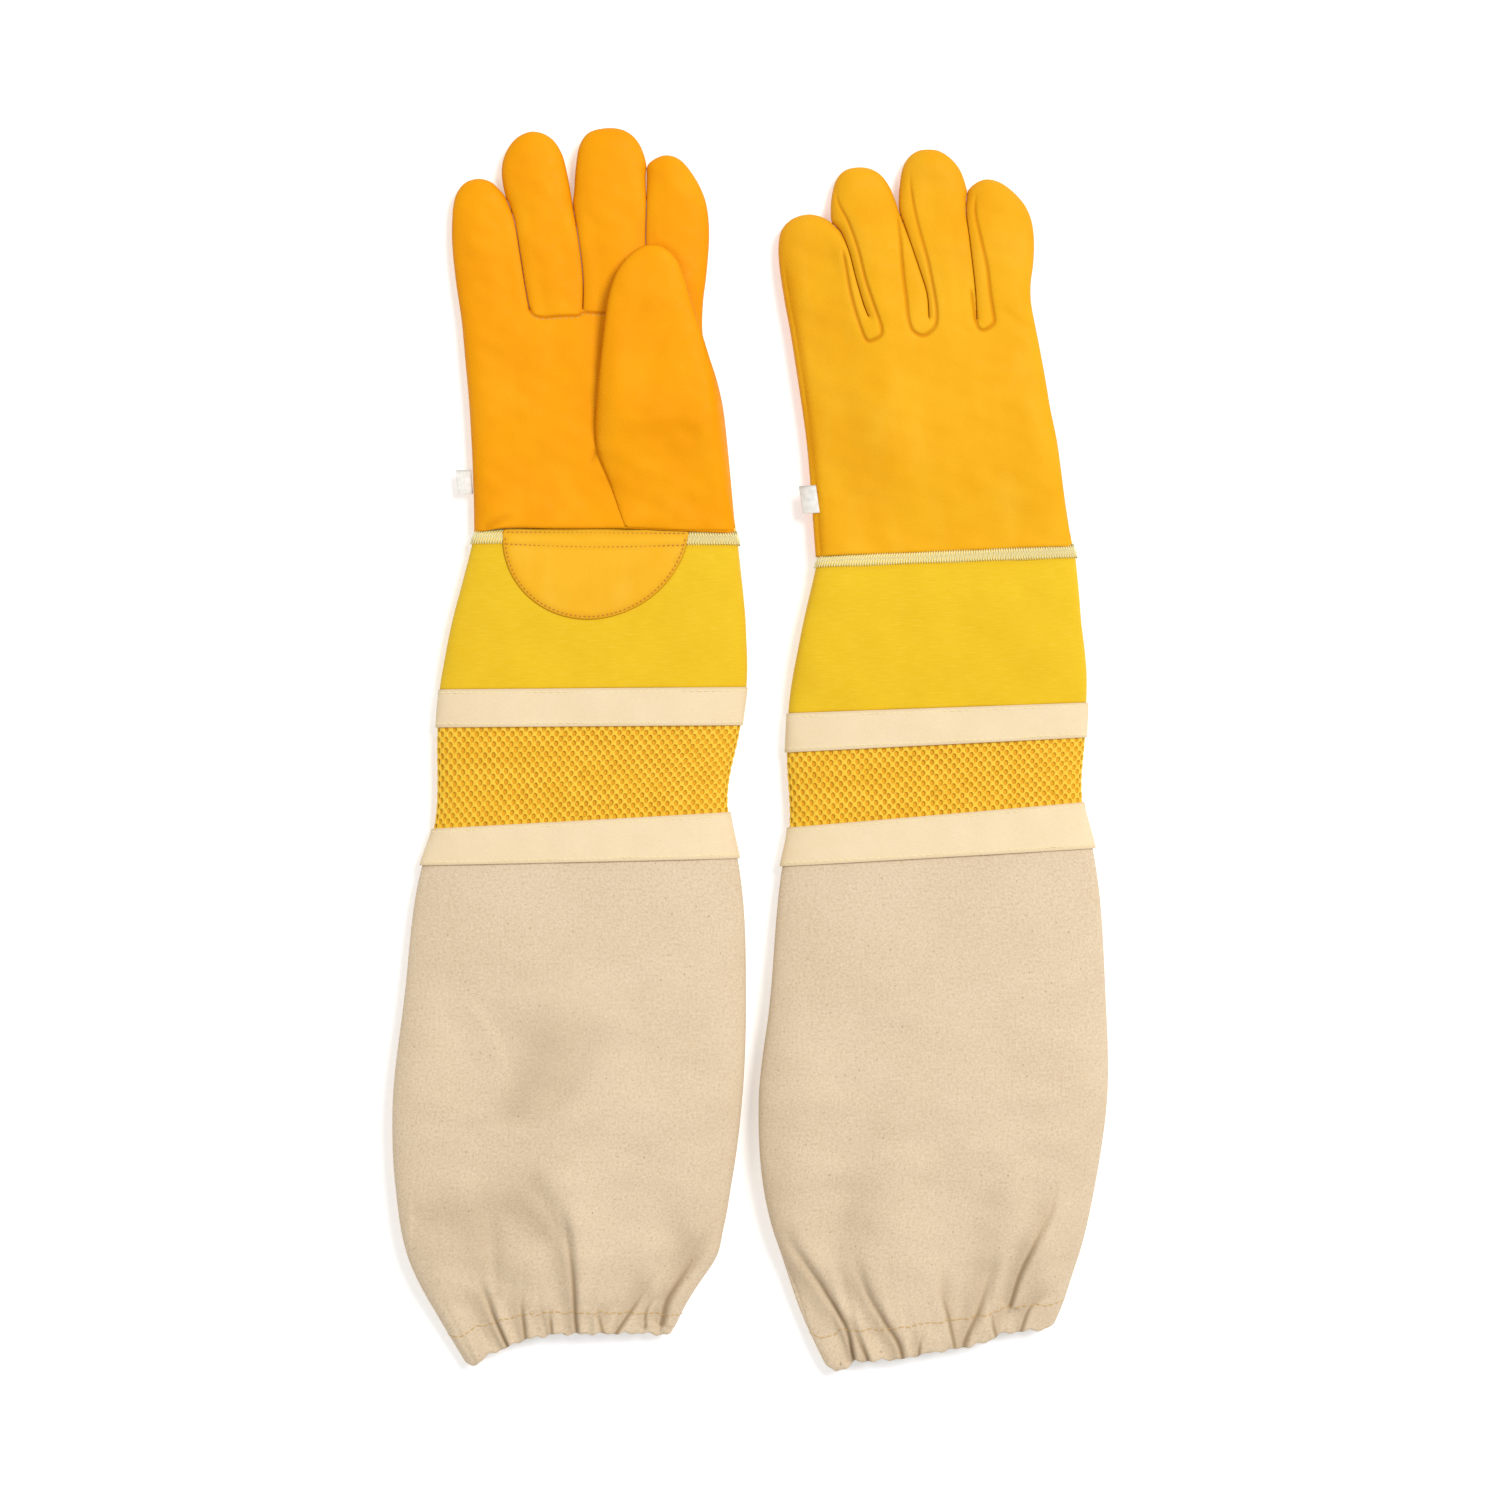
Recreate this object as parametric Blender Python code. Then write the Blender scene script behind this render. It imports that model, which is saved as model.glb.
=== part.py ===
"""Beekeeping gloves: a pair of long leather gloves with ventilated gauntlets and elastic hems.

The pair lies flat, side by side, fingers towards +Y, and stands on z = 0. The right glove is at -X,
palm up, with its thumb folded across the palm. The left glove is at +X, palm down, with its
thumb folded beneath it.

Lengths are in millimetres until a mesh is placed. A hand is worked out once, in a hand frame:
x runs from the little finger's side to the index finger's, y from the wrist seam to the fingertips,
and depth from the back of the hand, 0, to the palm. Each glove then puts it in the world with
its own turn and lean. A gauntlet is lofted in the world, from the edges of its bands.
"""

import math

import bmesh
import bpy
import numpy
from mathutils import Matrix, Vector

MM = 0.001
GAP = 0.3
LEATHER = 1.1
FABRIC = 0.9

# The flat hand
PALM_DEPTH = 12.0
FINGER_LOW = 0.4
FINGER_HIGH = 10.4
SIDE_SEAM_DEPTH = 5.6
CROTCH_Y = 94.5
FRONT_SEAM_Y = 90.0
FINGER_HINGE_Y = 127.0
FOURCHETTE_LOW = 2.2
FOURCHETTE_HIGH = 8.8
FOURCHETTE_HALF = 1.3
FOURCHETTE_SLIT = 0.2

# Each station is y, left edge, right edge, lowest depth, highest depth
PALM_STATIONS = (
    (0, -55.3, 54.2, 0, PALM_DEPTH),
    (28, -54.3, 54.7, 0, PALM_DEPTH),
    (57, -53.1, 53.8, 0, PALM_DEPTH),
    (80, -52.3, 48.6, 0, PALM_DEPTH),
    (CROTCH_Y, -52.9, 49.6, 0, PALM_DEPTH - 1.0),
)
FINGER_STATIONS = {
    "little": ((80, -51.3, -26.5), (97, -53.0, -25.4), (137, -54.4, -29.6)),
    "ring": ((80, -21.0, -3.5), (97, -22.2, -2.7), (137, -26.2, -2.5), (155, -29.4, -2.4)),
    "middle": ((80, 1.5, 24.5), (97, 0.5, 25.4), (156, 0.9, 29.0)),
    "index": ((80, 29.5, 47.0), (97, 28.7, 50.4), (114, 29.6, 53.7), (145, 32.0, 55.2)),
}
FINGER_TIPS = {"little": 151.0, "ring": 170.5, "middle": 171.5, "index": 159.5}
FINGER_NAMES = tuple(FINGER_STATIONS)
FOURCHETTES = {
    "little_ring": (-23.8, -26.8),
    "ring_middle": (-1.1, -1.0),
    "middle_index": (27.0, 28.9),
}

# The thumb lies over the palm, and its base rises out of the palm
THUMB_LOW = PALM_DEPTH + 0.5
THUMB_HIGH = THUMB_LOW + 8.0
THUMB_STATIONS = (
    (18, 5.0, 51.5, THUMB_LOW, THUMB_LOW + 2.6),
    (34, 1.4, 53.4, THUMB_LOW, THUMB_LOW + 5.5),
    (48, 1.0, 53.6, THUMB_LOW, THUMB_HIGH),
    (65, 3.2, 51.6, THUMB_LOW, THUMB_HIGH),
    (88, 7.5, 46.8, THUMB_LOW, THUMB_HIGH),
    (105, 11.5, 42.9, THUMB_LOW, THUMB_HIGH),
)
THUMB_TIP = 120.2
THUMB_HINGE_LEFT = (2.6, 43.7)
THUMB_HINGE_RIGHT = (50.8, 77.3)
THUMB_HOLE = (12.0, 25.0, 42.0, 45.0)

# The palm-down glove is held up by the thumb and the wrist patch beneath it
THUMB_ROOM = THUMB_HIGH - PALM_DEPTH
PATCH_ROOM = 1.5
FINGER_SETTLE = PALM_DEPTH - FINGER_HIGH
RISE_START_X = -54.0
RISE_FULL_X = -10.0
RISE_FULL_Y = 48.0
RISE_END_Y = 158.0
X_CREASES = 3
Y_CREASES = 3

# The wrist patch is half an ellipse
PATCH_CENTRE_X = -3.5
PATCH_HALF_WIDTH = 38.6
PATCH_LENGTH = 35.0
PATCH_THICKNESS = 1.1
PATCH_POINTS = 17

TAG_LOW_Y = 18.0
TAG_HIGH_Y = 28.5
TAG_LEFT = -61.0
TAG_RIGHT = -55.6
TAG_THICKNESS = 0.6
BINDING_LENGTH = 4.0

# The gauntlet's stations, from the wrist seam down to the hem's end
STATION_NAMES = (
    "wrist",
    "cuff_end",
    "upper_tape_end",
    "mesh_end",
    "lower_tape_end",
    "shoulder",
    "widest",
    "narrowing",
    "gathers",
    "hem_stitch",
    "hem_end",
)
GAUNTLET_HEIGHTS = (13.0, 13.0, 13.5, 14.0, 15.0, 20.0, 23.0, 22.0, 20.0, 16.5, 14.0)

HEM_CASING_DEPTH = 3.6
HEM_PLY = 0.8
ELASTIC_OUTER = 1.15
ELASTIC_INNER = 2.4

HAND_POINTS = 20
FINGER_POINTS = 12
GAUNTLET_POINTS = 20
TIP_ANGLES = (36, 62, 82)
HAND_FULLNESS = 2.8
GAUNTLET_FULLNESS = 2.4
FLATTENED = 1.0

LEATHER_PALM = ((0.98, 0.39, 0.008), 0.62)
LEATHER_BACK = ((0.97, 0.46, 0.02), 0.62)
COTTON = ((0.89, 0.55, 0.03), 0.9)
TAPE = ((0.94, 0.76, 0.48), 0.92)
MESH = ((0.92, 0.58, 0.04), 0.7)
CANVAS = ((0.77, 0.6, 0.41), 0.95)
BINDING = ((0.95, 0.85, 0.6), 0.9)
RUBBER = ((0.8, 0.78, 0.72), 0.8)
LABEL = ((0.9, 0.9, 0.88), 0.7)


def clear_scene():
    for old in list(bpy.data.objects):
        bpy.data.objects.remove(old)


def ramp(low, high, value):
    return min(max((value - low) / (high - low), 0.0), 1.0)


def hand_rise(x, y):
    """How far the palm-down hand is held off the floor by what is folded beneath it."""
    across_thumb = ramp(RISE_START_X, RISE_FULL_X, x)
    up_the_hand = ramp(0.0, RISE_FULL_Y, y)
    at_tips = ramp(FINGER_HINGE_Y, RISE_END_Y, y)
    held_up = THUMB_ROOM * across_thumb * (up_the_hand - at_tips)
    return held_up + PATCH_ROOM * (1.0 - up_the_hand) - FINGER_SETTLE * at_tips


def crease_planes():
    """Where the palm-down hand bends as it rises: pairs of an axis and a place along it."""
    for x in numpy.linspace(RISE_START_X, RISE_FULL_X, X_CREASES + 1):
        yield Vector((1, 0, 0)), x
    for start, end in ((0.0, RISE_FULL_Y), (FINGER_HINGE_Y, RISE_END_Y)):
        for y in numpy.linspace(start, end, Y_CREASES + 1):
            yield Vector((0, 1, 0)), y


def creased(mesh):
    """Cut a hand-frame mesh's faces along the creases, so that they can bend there."""
    shape = bmesh.new()
    shape.from_mesh(mesh)
    bmesh.ops.dissolve_limit(
        shape, angle_limit=math.radians(0.5), verts=shape.verts, edges=shape.edges
    )
    for axis, place in crease_planes():
        everything = shape.verts[:] + shape.edges[:] + shape.faces[:]
        bmesh.ops.bisect_plane(shape, geom=everything, plane_co=axis * place, plane_no=axis)
    bmesh.ops.triangulate(shape, faces=shape.faces)
    shape.to_mesh(mesh)
    shape.free()
    return mesh


class Glove:
    """Where one glove lies: its wrist, its hand's turn and lean, and its gauntlet's edges."""

    def __init__(self, side, palm_up, lean, edges):
        self.side = side
        self.palm_up = palm_up
        self.lean = math.tan(math.radians(lean))
        self.edges = [numpy.array(edge, float) for edge in edges]
        left, right = self.edges[0][:2], self.edges[0][2:]
        self.wrist = (left + right) / 2.0
        self.turn = math.atan2(right[1] - left[1], right[0] - left[0])
        centres = [(edge[:2] + edge[2:]) / 2.0 for edge in self.edges]
        steps = [math.dist(*pair) for pair in zip(centres, centres[1:])]
        self.distances = [sum(steps[:count]) for count in range(len(centres))]

    def hand_point(self, x, y, depth):
        """A point of the hand frame in the world, in metres."""
        across = x - self.lean * max(y, 0.0)
        world_x = self.wrist[0] + across * math.cos(self.turn) - y * math.sin(self.turn)
        world_y = self.wrist[1] + across * math.sin(self.turn) + y * math.cos(self.turn)
        world_z = depth if self.palm_up else PALM_DEPTH - depth + hand_rise(x, y)
        return Vector((world_x, world_y, world_z)) * MM

    def distance_to(self, station):
        return self.distances[STATION_NAMES.index(station)]

    def edge_at(self, distance):
        """Both edges of the gauntlet at a distance from the wrist seam, on a smooth curve."""
        last = len(self.edges) - 2
        before = int(numpy.searchsorted(self.distances, distance, side="right")) - 1
        before = min(max(before, 0), last)
        span = self.distances[before + 1] - self.distances[before]
        along = (distance - self.distances[before]) / span
        start, end = self.edges[before], self.edges[before + 1]
        leaving = self.edge_slope(before) * span
        arriving = self.edge_slope(before + 1) * span
        return (
            start * (1 + 2 * along) * (1 - along) ** 2
            + leaving * along * (1 - along) ** 2
            + end * along**2 * (3 - 2 * along)
            + arriving * along**2 * (along - 1)
        )

    def edge_slope(self, index):
        before = max(index - 1, 0)
        after = min(index + 1, len(self.edges) - 1)
        change = self.edges[after] - self.edges[before]
        return change / (self.distances[after] - self.distances[before])

    def floor_at(self, distance):
        """The gauntlet's underside, lifted at the cuff of the palm-down glove by its patch."""
        if self.palm_up:
            return 0.0
        return PATCH_ROOM * (1.0 - ramp(PATCH_LENGTH + 3, self.distances[1], distance))

    def gauntlet_ring(self, distance, inset):
        """A flattened ring of the gauntlet in metres, drawn in by inset."""
        edge = self.edge_at(distance)
        left, right = edge[:2], edge[2:]
        centre = (left + right) / 2.0
        half = math.dist(left, right) / 2.0
        direction = (right - left) / (2.0 * half)
        low = self.floor_at(distance)
        high = numpy.interp(distance, self.distances, GAUNTLET_HEIGHTS) + low
        ring = []
        for across, z in flattened_oval(
            half - inset, low + inset, high - inset, GAUNTLET_POINTS, GAUNTLET_FULLNESS
        ):
            x, y = centre + direction * across
            ring.append(Vector((x, y, z)) * MM)
        return ring


RIGHT_GLOVE = Glove(
    side="right",
    palm_up=True,
    lean=4.0,
    edges=(
        (-116.0, 88.5, -5.5, 90.2),
        (-130.6, 24.0, -1.8, 25.0),
        (-131.9, 8.4, -3.6, 9.3),
        (-134.0, -34.5, -7.2, -28.0),
        (-138.2, -49.6, -5.0, -46.6),
        (-145.7, -106.0, -1.4, -106.0),
        (-150.5, -152.5, -3.4, -152.5),
        (-149.5, -183.0, -7.1, -181.0),
        (-143.2, -217.0, -15.5, -212.0),
        (-131.0, -241.5, -28.0, -233.0),
        (-117.6, -260.8, -33.0, -247.0),
    ),
)
LEFT_GLOVE = Glove(
    side="left",
    palm_up=False,
    lean=6.0,
    edges=(
        (28.6, 78.6, 136.5, 82.7),
        (16.4, 14.0, 141.5, 18.5),
        (15.5, -2.1, 141.1, 4.2),
        (16.4, -34.0, 140.2, -23.4),
        (13.4, -50.0, 144.5, -42.4),
        (8.0, -108.0, 149.8, -104.0),
        (3.4, -150.0, 150.4, -147.0),
        (5.5, -184.0, 146.2, -179.0),
        (14.3, -218.0, 139.0, -212.0),
        (23.5, -243.0, 132.0, -229.0),
        (35.7, -260.8, 128.0, -240.5),
    ),
)


def rounded_power(value, power):
    return math.copysign(abs(value) ** power, value)


def flattened_oval(half, low, high, count, fullness):
    """Points (across, height) round a full oval whose underside is pressed flat at low."""
    centre = (low - FLATTENED + high) / 2.0
    rise = (high - low + FLATTENED) / 2.0
    for step in range(count):
        angle = math.tau * step / count
        across = half * rounded_power(math.cos(angle), 2.0 / fullness)
        height = centre + rise * rounded_power(math.sin(angle), 2.0 / fullness)
        yield across, max(height, low)


def mesh_from_rings(name, rings, closed_ends):
    """Skin rings of equal count, capping both ends or else joining the last to the first."""
    shape = bmesh.new()
    loops = [[shape.verts.new(point) for point in ring] for ring in rings]
    pairs = list(zip(loops, loops[1:]))
    if not closed_ends:
        pairs.append((loops[-1], loops[0]))
    for near, far in pairs:
        for index, vertex in enumerate(near):
            following = (index + 1) % len(near)
            shape.faces.new((vertex, far[index], far[following], near[following]))
    if closed_ends:
        shape.faces.new(loops[0])
        shape.faces.new(reversed(loops[-1]))
    bmesh.ops.recalc_face_normals(shape, faces=shape.faces)
    mesh = bpy.data.meshes.new(name)
    shape.to_mesh(mesh)
    shape.free()
    split_into_triangles(mesh)
    return mesh


def split_into_triangles(mesh):
    """Make every face flat, so that a Boolean cuts it where it really is."""
    shape = bmesh.new()
    shape.from_mesh(mesh)
    bmesh.ops.triangulate(shape, faces=shape.faces)
    shape.to_mesh(mesh)
    shape.free()


def combined(operation, base, *tools):
    """The base mesh joined to, cut by or kept inside each tool in turn."""
    for tool in tools:
        base_object = bpy.data.objects.new("boolean_base", base)
        tool_object = bpy.data.objects.new("boolean_tool", tool)
        bpy.context.scene.collection.objects.link(base_object)
        bpy.context.scene.collection.objects.link(tool_object)
        modifier = base_object.modifiers.new("boolean", "BOOLEAN")
        modifier.operation = operation
        modifier.object = tool_object
        evaluated = base_object.evaluated_get(bpy.context.evaluated_depsgraph_get())
        base = bpy.data.meshes.new_from_object(evaluated)
        split_into_triangles(base)
        bpy.data.objects.remove(base_object)
        bpy.data.objects.remove(tool_object)
    return base


def block(low, high, turn=0.0, pivot=(0.0, 0.0)):
    """A box between two corners, turned about an upright line through pivot."""
    shape = bmesh.new()
    bmesh.ops.create_cube(shape, size=1.0)
    size = Vector(high) - Vector(low)
    middle = (Vector(high) + Vector(low)) / 2.0
    shift = Vector((pivot[0], pivot[1], 0.0))
    matrix = (
        Matrix.Translation(shift)
        @ Matrix.Rotation(turn, 4, "Z")
        @ Matrix.Translation(middle - shift)
        @ Matrix.Diagonal(size).to_4x4()
    )
    bmesh.ops.transform(shape, matrix=matrix, verts=shape.verts)
    mesh = bpy.data.meshes.new("block")
    shape.to_mesh(mesh)
    shape.free()
    return mesh


def flat_outline(points, low, high):
    """A plate of a closed outline, from one depth to another."""
    curve = bpy.data.curves.new("outline", "CURVE")
    curve.dimensions = "2D"
    curve.fill_mode = "BOTH"
    curve.extrude = (high - low) / 2.0
    spline = curve.splines.new("POLY")
    spline.points.add(len(points) - 1)
    for corner, (x, y) in zip(spline.points, points):
        corner.co = (x, y, 0.0, 1.0)
    spline.use_cyclic_u = True
    holder = bpy.data.objects.new("outline", curve)
    bpy.context.scene.collection.objects.link(holder)
    evaluated = holder.evaluated_get(bpy.context.evaluated_depsgraph_get())
    mesh = bpy.data.meshes.new_from_object(evaluated)
    bpy.data.objects.remove(holder)
    shape = bmesh.new()
    shape.from_mesh(mesh)
    bmesh.ops.remove_doubles(shape, verts=shape.verts, dist=0.001)
    bmesh.ops.translate(shape, verts=shape.verts, vec=(0.0, 0.0, (low + high) / 2.0))
    bmesh.ops.recalc_face_normals(shape, faces=shape.faces)
    shape.to_mesh(mesh)
    shape.free()
    return mesh


def hand_ring(y, left, right, low, high, inset, count):
    middle = (left + right) / 2.0
    half = (right - left) / 2.0 - inset
    oval = flattened_oval(half, low + inset, high - inset, count, HAND_FULLNESS)
    return [(middle + across, y, depth) for across, depth in oval]


def palm_body(inset, wrist_y):
    """The palm as one closed solid, from wrist_y to the finger crotches."""
    rings = []
    for y, left, right, low, high in PALM_STATIONS:
        ring_y = wrist_y if y == 0 else min(y, CROTCH_Y - inset)
        rings.append(hand_ring(ring_y, left, right, low, high, inset, HAND_POINTS))
    return mesh_from_rings("palm", rings, closed_ends=True)


def stall_body(stations, tip, inset):
    """A finger or thumb as one closed solid, with a rounded tip past its last station."""
    rings = [
        hand_ring(y, left, right, low, high, inset, FINGER_POINTS)
        for y, left, right, low, high in stations
    ]
    y, left, right, low, high = stations[-1]
    middle = (left + right) / 2.0
    centre = (low + high) / 2.0
    for angle in map(math.radians, TIP_ANGLES):
        narrowing = math.cos(angle)
        half = ((right - left) / 2.0 - inset) * narrowing
        rise = ((high - low) / 2.0 - inset) * math.sqrt(narrowing)
        ring_y = y + (tip - inset - y) * math.sin(angle)
        rings.append(
            hand_ring(
                ring_y, middle - half, middle + half, centre - rise, centre + rise, 0, FINGER_POINTS
            )
        )
    return mesh_from_rings("stall", rings, closed_ends=True)


def finger_body(finger, inset):
    stations = [
        (y, left, right, FINGER_LOW, FINGER_HIGH) for y, left, right in FINGER_STATIONS[finger]
    ]
    return stall_body(stations, FINGER_TIPS[finger], inset)


def far_block(y_low, y_high, depth_low, depth_high, x_low=-90.0, x_high=90.0):
    return block((x_low, y_low, depth_low), (x_high, y_high, depth_high))


def hand_shell():
    """The palm and finger stalls as one hollow skin, open at the wrist."""
    outside = combined("UNION", palm_body(0, 0), *(finger_body(name, 0) for name in FINGER_NAMES))
    inside = combined(
        "UNION", palm_body(LEATHER, -5), *(finger_body(name, LEATHER) for name in FINGER_NAMES)
    )
    return combined("DIFFERENCE", outside, inside)


def front_half(y_low, y_high):
    return far_block(y_low, y_high, SIDE_SEAM_DEPTH + GAP / 2, 40)


def back_half(y_low, y_high):
    return far_block(y_low, y_high, -20, SIDE_SEAM_DEPTH - GAP / 2)


def centre_front_space(margin):
    """The space of the ring and middle fingers' front panel, grown by margin."""
    left = FOURCHETTES["little_ring"][0] - margin
    right = FOURCHETTES["middle_index"][0] + margin
    lean_left = FOURCHETTES["little_ring"][1] - left
    width = right - left
    space = block((left, FRONT_SEAM_Y - margin, 0), (left + width, 300, 40))
    for vertex in space.vertices:
        if vertex.co.y > FRONT_SEAM_Y + 1 and vertex.co.x < 0:
            vertex.co.x += lean_left * 4
    return space


def thumb_side(beyond_hinge, margin):
    """Everything on one side of the thumb's slanting fold line."""
    rise = THUMB_HINGE_RIGHT[1] - THUMB_HINGE_LEFT[1]
    run = THUMB_HINGE_RIGHT[0] - THUMB_HINGE_LEFT[0]
    left, fold_y = THUMB_HINGE_LEFT
    y_low, y_high = (fold_y + margin, fold_y + 150) if beyond_hinge else (fold_y - 150, fold_y - margin)
    return block(
        (left - 90, y_low, -20), (left + 150, y_high, 60), math.atan2(rise, run), THUMB_HINGE_LEFT
    )


def hand_pieces():
    """The hand-frame meshes of the pieces that are fixed to the hand, by name."""
    near = FINGER_HINGE_Y - GAP / 2
    shell = hand_shell()
    front = combined("INTERSECT", shell, front_half(-10, near))
    hole_x, hole_y, hole_end_x, hole_end_y = THUMB_HOLE
    hole = block((hole_x, hole_y, 8), (hole_end_x, hole_end_y, THUMB_LOW + LEATHER + 0.5))
    thumb = combined(
        "DIFFERENCE", stall_body(THUMB_STATIONS, THUMB_TIP, 0), stall_body(THUMB_STATIONS, THUMB_TIP, LEATHER)
    )
    pieces = {
        "palm_panel": combined("DIFFERENCE", front, centre_front_space(GAP / 2), hole),
        "centre_front_panel": combined("INTERSECT", front, centre_front_space(-GAP / 2)),
        "back_panel": combined("INTERSECT", shell, back_half(-10, near)),
        "thumb_base": combined(
            "DIFFERENCE", combined("INTERSECT", thumb, thumb_side(False, GAP / 2)), hole
        ),
    }
    for name, (crotch_x, hinge_x) in FOURCHETTES.items():
        pieces[name + "_fourchette"] = fourchette(crotch_x, hinge_x)
    return pieces


def fourchette(crotch_x, hinge_x):
    """The folded strip between two fingers: two walls joined at the crotch."""
    low_y = CROTCH_Y + GAP
    high_y = FINGER_HINGE_Y - GAP / 2
    floor_y = low_y + LEATHER
    outline = (
        (crotch_x - FOURCHETTE_HALF, low_y),
        (crotch_x + FOURCHETTE_HALF, low_y),
        (hinge_x + FOURCHETTE_HALF, high_y),
        (hinge_x + FOURCHETTE_SLIT, high_y),
        (crotch_x + FOURCHETTE_SLIT, floor_y),
        (crotch_x - FOURCHETTE_SLIT, floor_y),
        (hinge_x - FOURCHETTE_SLIT, high_y),
        (hinge_x - FOURCHETTE_HALF, high_y),
    )
    return flat_outline(outline, FOURCHETTE_LOW, FOURCHETTE_HIGH)


def finger_tip_pieces(finger):
    """The front and back halves of a finger stall beyond its hinge."""
    skin = combined("DIFFERENCE", finger_body(finger, 0), finger_body(finger, LEATHER))
    far = FINGER_HINGE_Y + GAP / 2
    return {
        f"{finger}_fingertip_front": combined("INTERSECT", skin, front_half(far, 300)),
        f"{finger}_fingertip_back": combined("INTERSECT", skin, back_half(far, 300)),
    }


def thumb_pieces():
    """The front and back halves of the thumb stall beyond its fold."""
    skin = combined(
        "DIFFERENCE", stall_body(THUMB_STATIONS, THUMB_TIP, 0), stall_body(THUMB_STATIONS, THUMB_TIP, LEATHER)
    )
    moving = combined("INTERSECT", skin, thumb_side(True, GAP / 2))
    seam = (THUMB_LOW + THUMB_HIGH) / 2.0
    return {
        "thumb_front": combined("INTERSECT", moving, far_block(-20, 300, 0, seam - GAP / 2)),
        "thumb_back": combined("INTERSECT", moving, far_block(-20, 300, seam + GAP / 2, 60)),
    }


def patch_outline():
    """Half an ellipse below the wrist seam, widest at the seam."""
    points = []
    for step in range(PATCH_POINTS):
        angle = math.pi * step / (PATCH_POINTS - 1)
        x = PATCH_CENTRE_X - PATCH_HALF_WIDTH * math.cos(angle)
        points.append((x, -GAP - PATCH_LENGTH * math.sin(angle)))
    return points


def finger_hinge(glove, finger):
    """Both ends of a finger's fold line, along its upper side."""
    upper = FINGER_HIGH if glove.palm_up else FINGER_LOW
    stations = FINGER_STATIONS[finger]
    heights = [station[0] for station in stations]
    ends = []
    for edge in (1, 2):
        x = numpy.interp(FINGER_HINGE_Y, heights, [station[edge] for station in stations])
        ends.append(glove.hand_point(float(x), FINGER_HINGE_Y, upper))
    return ends


def thumb_hinge(glove):
    """Both ends of the thumb's fold line, along its upper side."""
    upper = THUMB_HIGH if glove.palm_up else THUMB_LOW
    return [glove.hand_point(x, y, upper) for x, y in (THUMB_HINGE_LEFT, THUMB_HINGE_RIGHT)]


def cuff_hinge(glove):
    """Both ends of the cuff's fold line, along the top of the mesh band's lower end."""
    edge = glove.edge_at(glove.distance_to("mesh_end"))
    height = GAUNTLET_HEIGHTS[STATION_NAMES.index("mesh_end")]
    return [Vector((edge[at], edge[at + 1], height)) * MM for at in (0, 2)]


def finish_material(name, colour, roughness):
    material = bpy.data.materials.new(name)
    material.use_nodes = True
    shader = material.node_tree.nodes["Principled BSDF"]
    shader.inputs["Base Color"].default_value = (*colour, 1.0)
    shader.inputs["Roughness"].default_value = roughness
    shader.inputs["Metallic"].default_value = 0.0
    return material


def add_piece(collection, name, mesh, origin, finish):
    """Link a world mesh as an object whose origin is on its joint's axis."""
    mesh.name = name
    mesh.transform(Matrix.Translation(-origin))
    mesh.shade_smooth()
    mesh.set_sharp_from_angle(angle=math.radians(35))
    mesh.materials.clear()
    mesh.materials.append(finish_material(name, *finish))
    piece = bpy.data.objects.new(name, mesh)
    piece.location = origin
    collection.objects.link(piece)


def add_hand_piece(collection, glove, name, mesh, origin, finish):
    """Bend a hand-frame mesh to where the glove's hand lies, then link it."""
    mesh = creased(mesh)
    for vertex in mesh.vertices:
        vertex.co = glove.hand_point(*vertex.co)
    if not glove.palm_up:
        mesh.flip_normals()
    add_piece(collection, f"{glove.side}_{name}", mesh, origin, finish)


def tube(glove, start, end, wall, sections):
    """A hollow band of the gauntlet between two distances from the wrist seam."""
    distances = numpy.linspace(start, end - GAP, sections)
    outer = [glove.gauntlet_ring(distance, 0.0) for distance in distances]
    inner = [glove.gauntlet_ring(distance, wall) for distance in reversed(distances)]
    return mesh_from_rings("tube", outer + inner, closed_ends=False)


def hem_casing(glove):
    """The hem: cloth turned inwards at the end and back up, with a channel between its plies."""
    start = glove.distance_to("hem_stitch")
    end = glove.distance_to("hem_end")
    fold = end - HEM_PLY
    profile = (
        (start, 0.0),
        (end, 0.0),
        (end, HEM_CASING_DEPTH),
        (start, HEM_CASING_DEPTH),
        (start, HEM_CASING_DEPTH - HEM_PLY),
        (fold, HEM_CASING_DEPTH - HEM_PLY),
        (fold, HEM_PLY),
        (start, HEM_PLY),
    )
    rings = [glove.gauntlet_ring(distance, inset) for distance, inset in profile]
    return mesh_from_rings("hem_casing", rings, closed_ends=False)


def hem_elastic(glove):
    """The elastic band that lies in the hem's channel."""
    start = glove.distance_to("hem_stitch") + 1.5
    end = glove.distance_to("hem_end") - HEM_PLY - 1.0
    profile = (
        (start, ELASTIC_OUTER),
        (end, ELASTIC_OUTER),
        (end, ELASTIC_INNER),
        (start, ELASTIC_INNER),
    )
    rings = [glove.gauntlet_ring(distance, inset) for distance, inset in profile]
    return mesh_from_rings("hem_elastic", rings, closed_ends=False)


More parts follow.
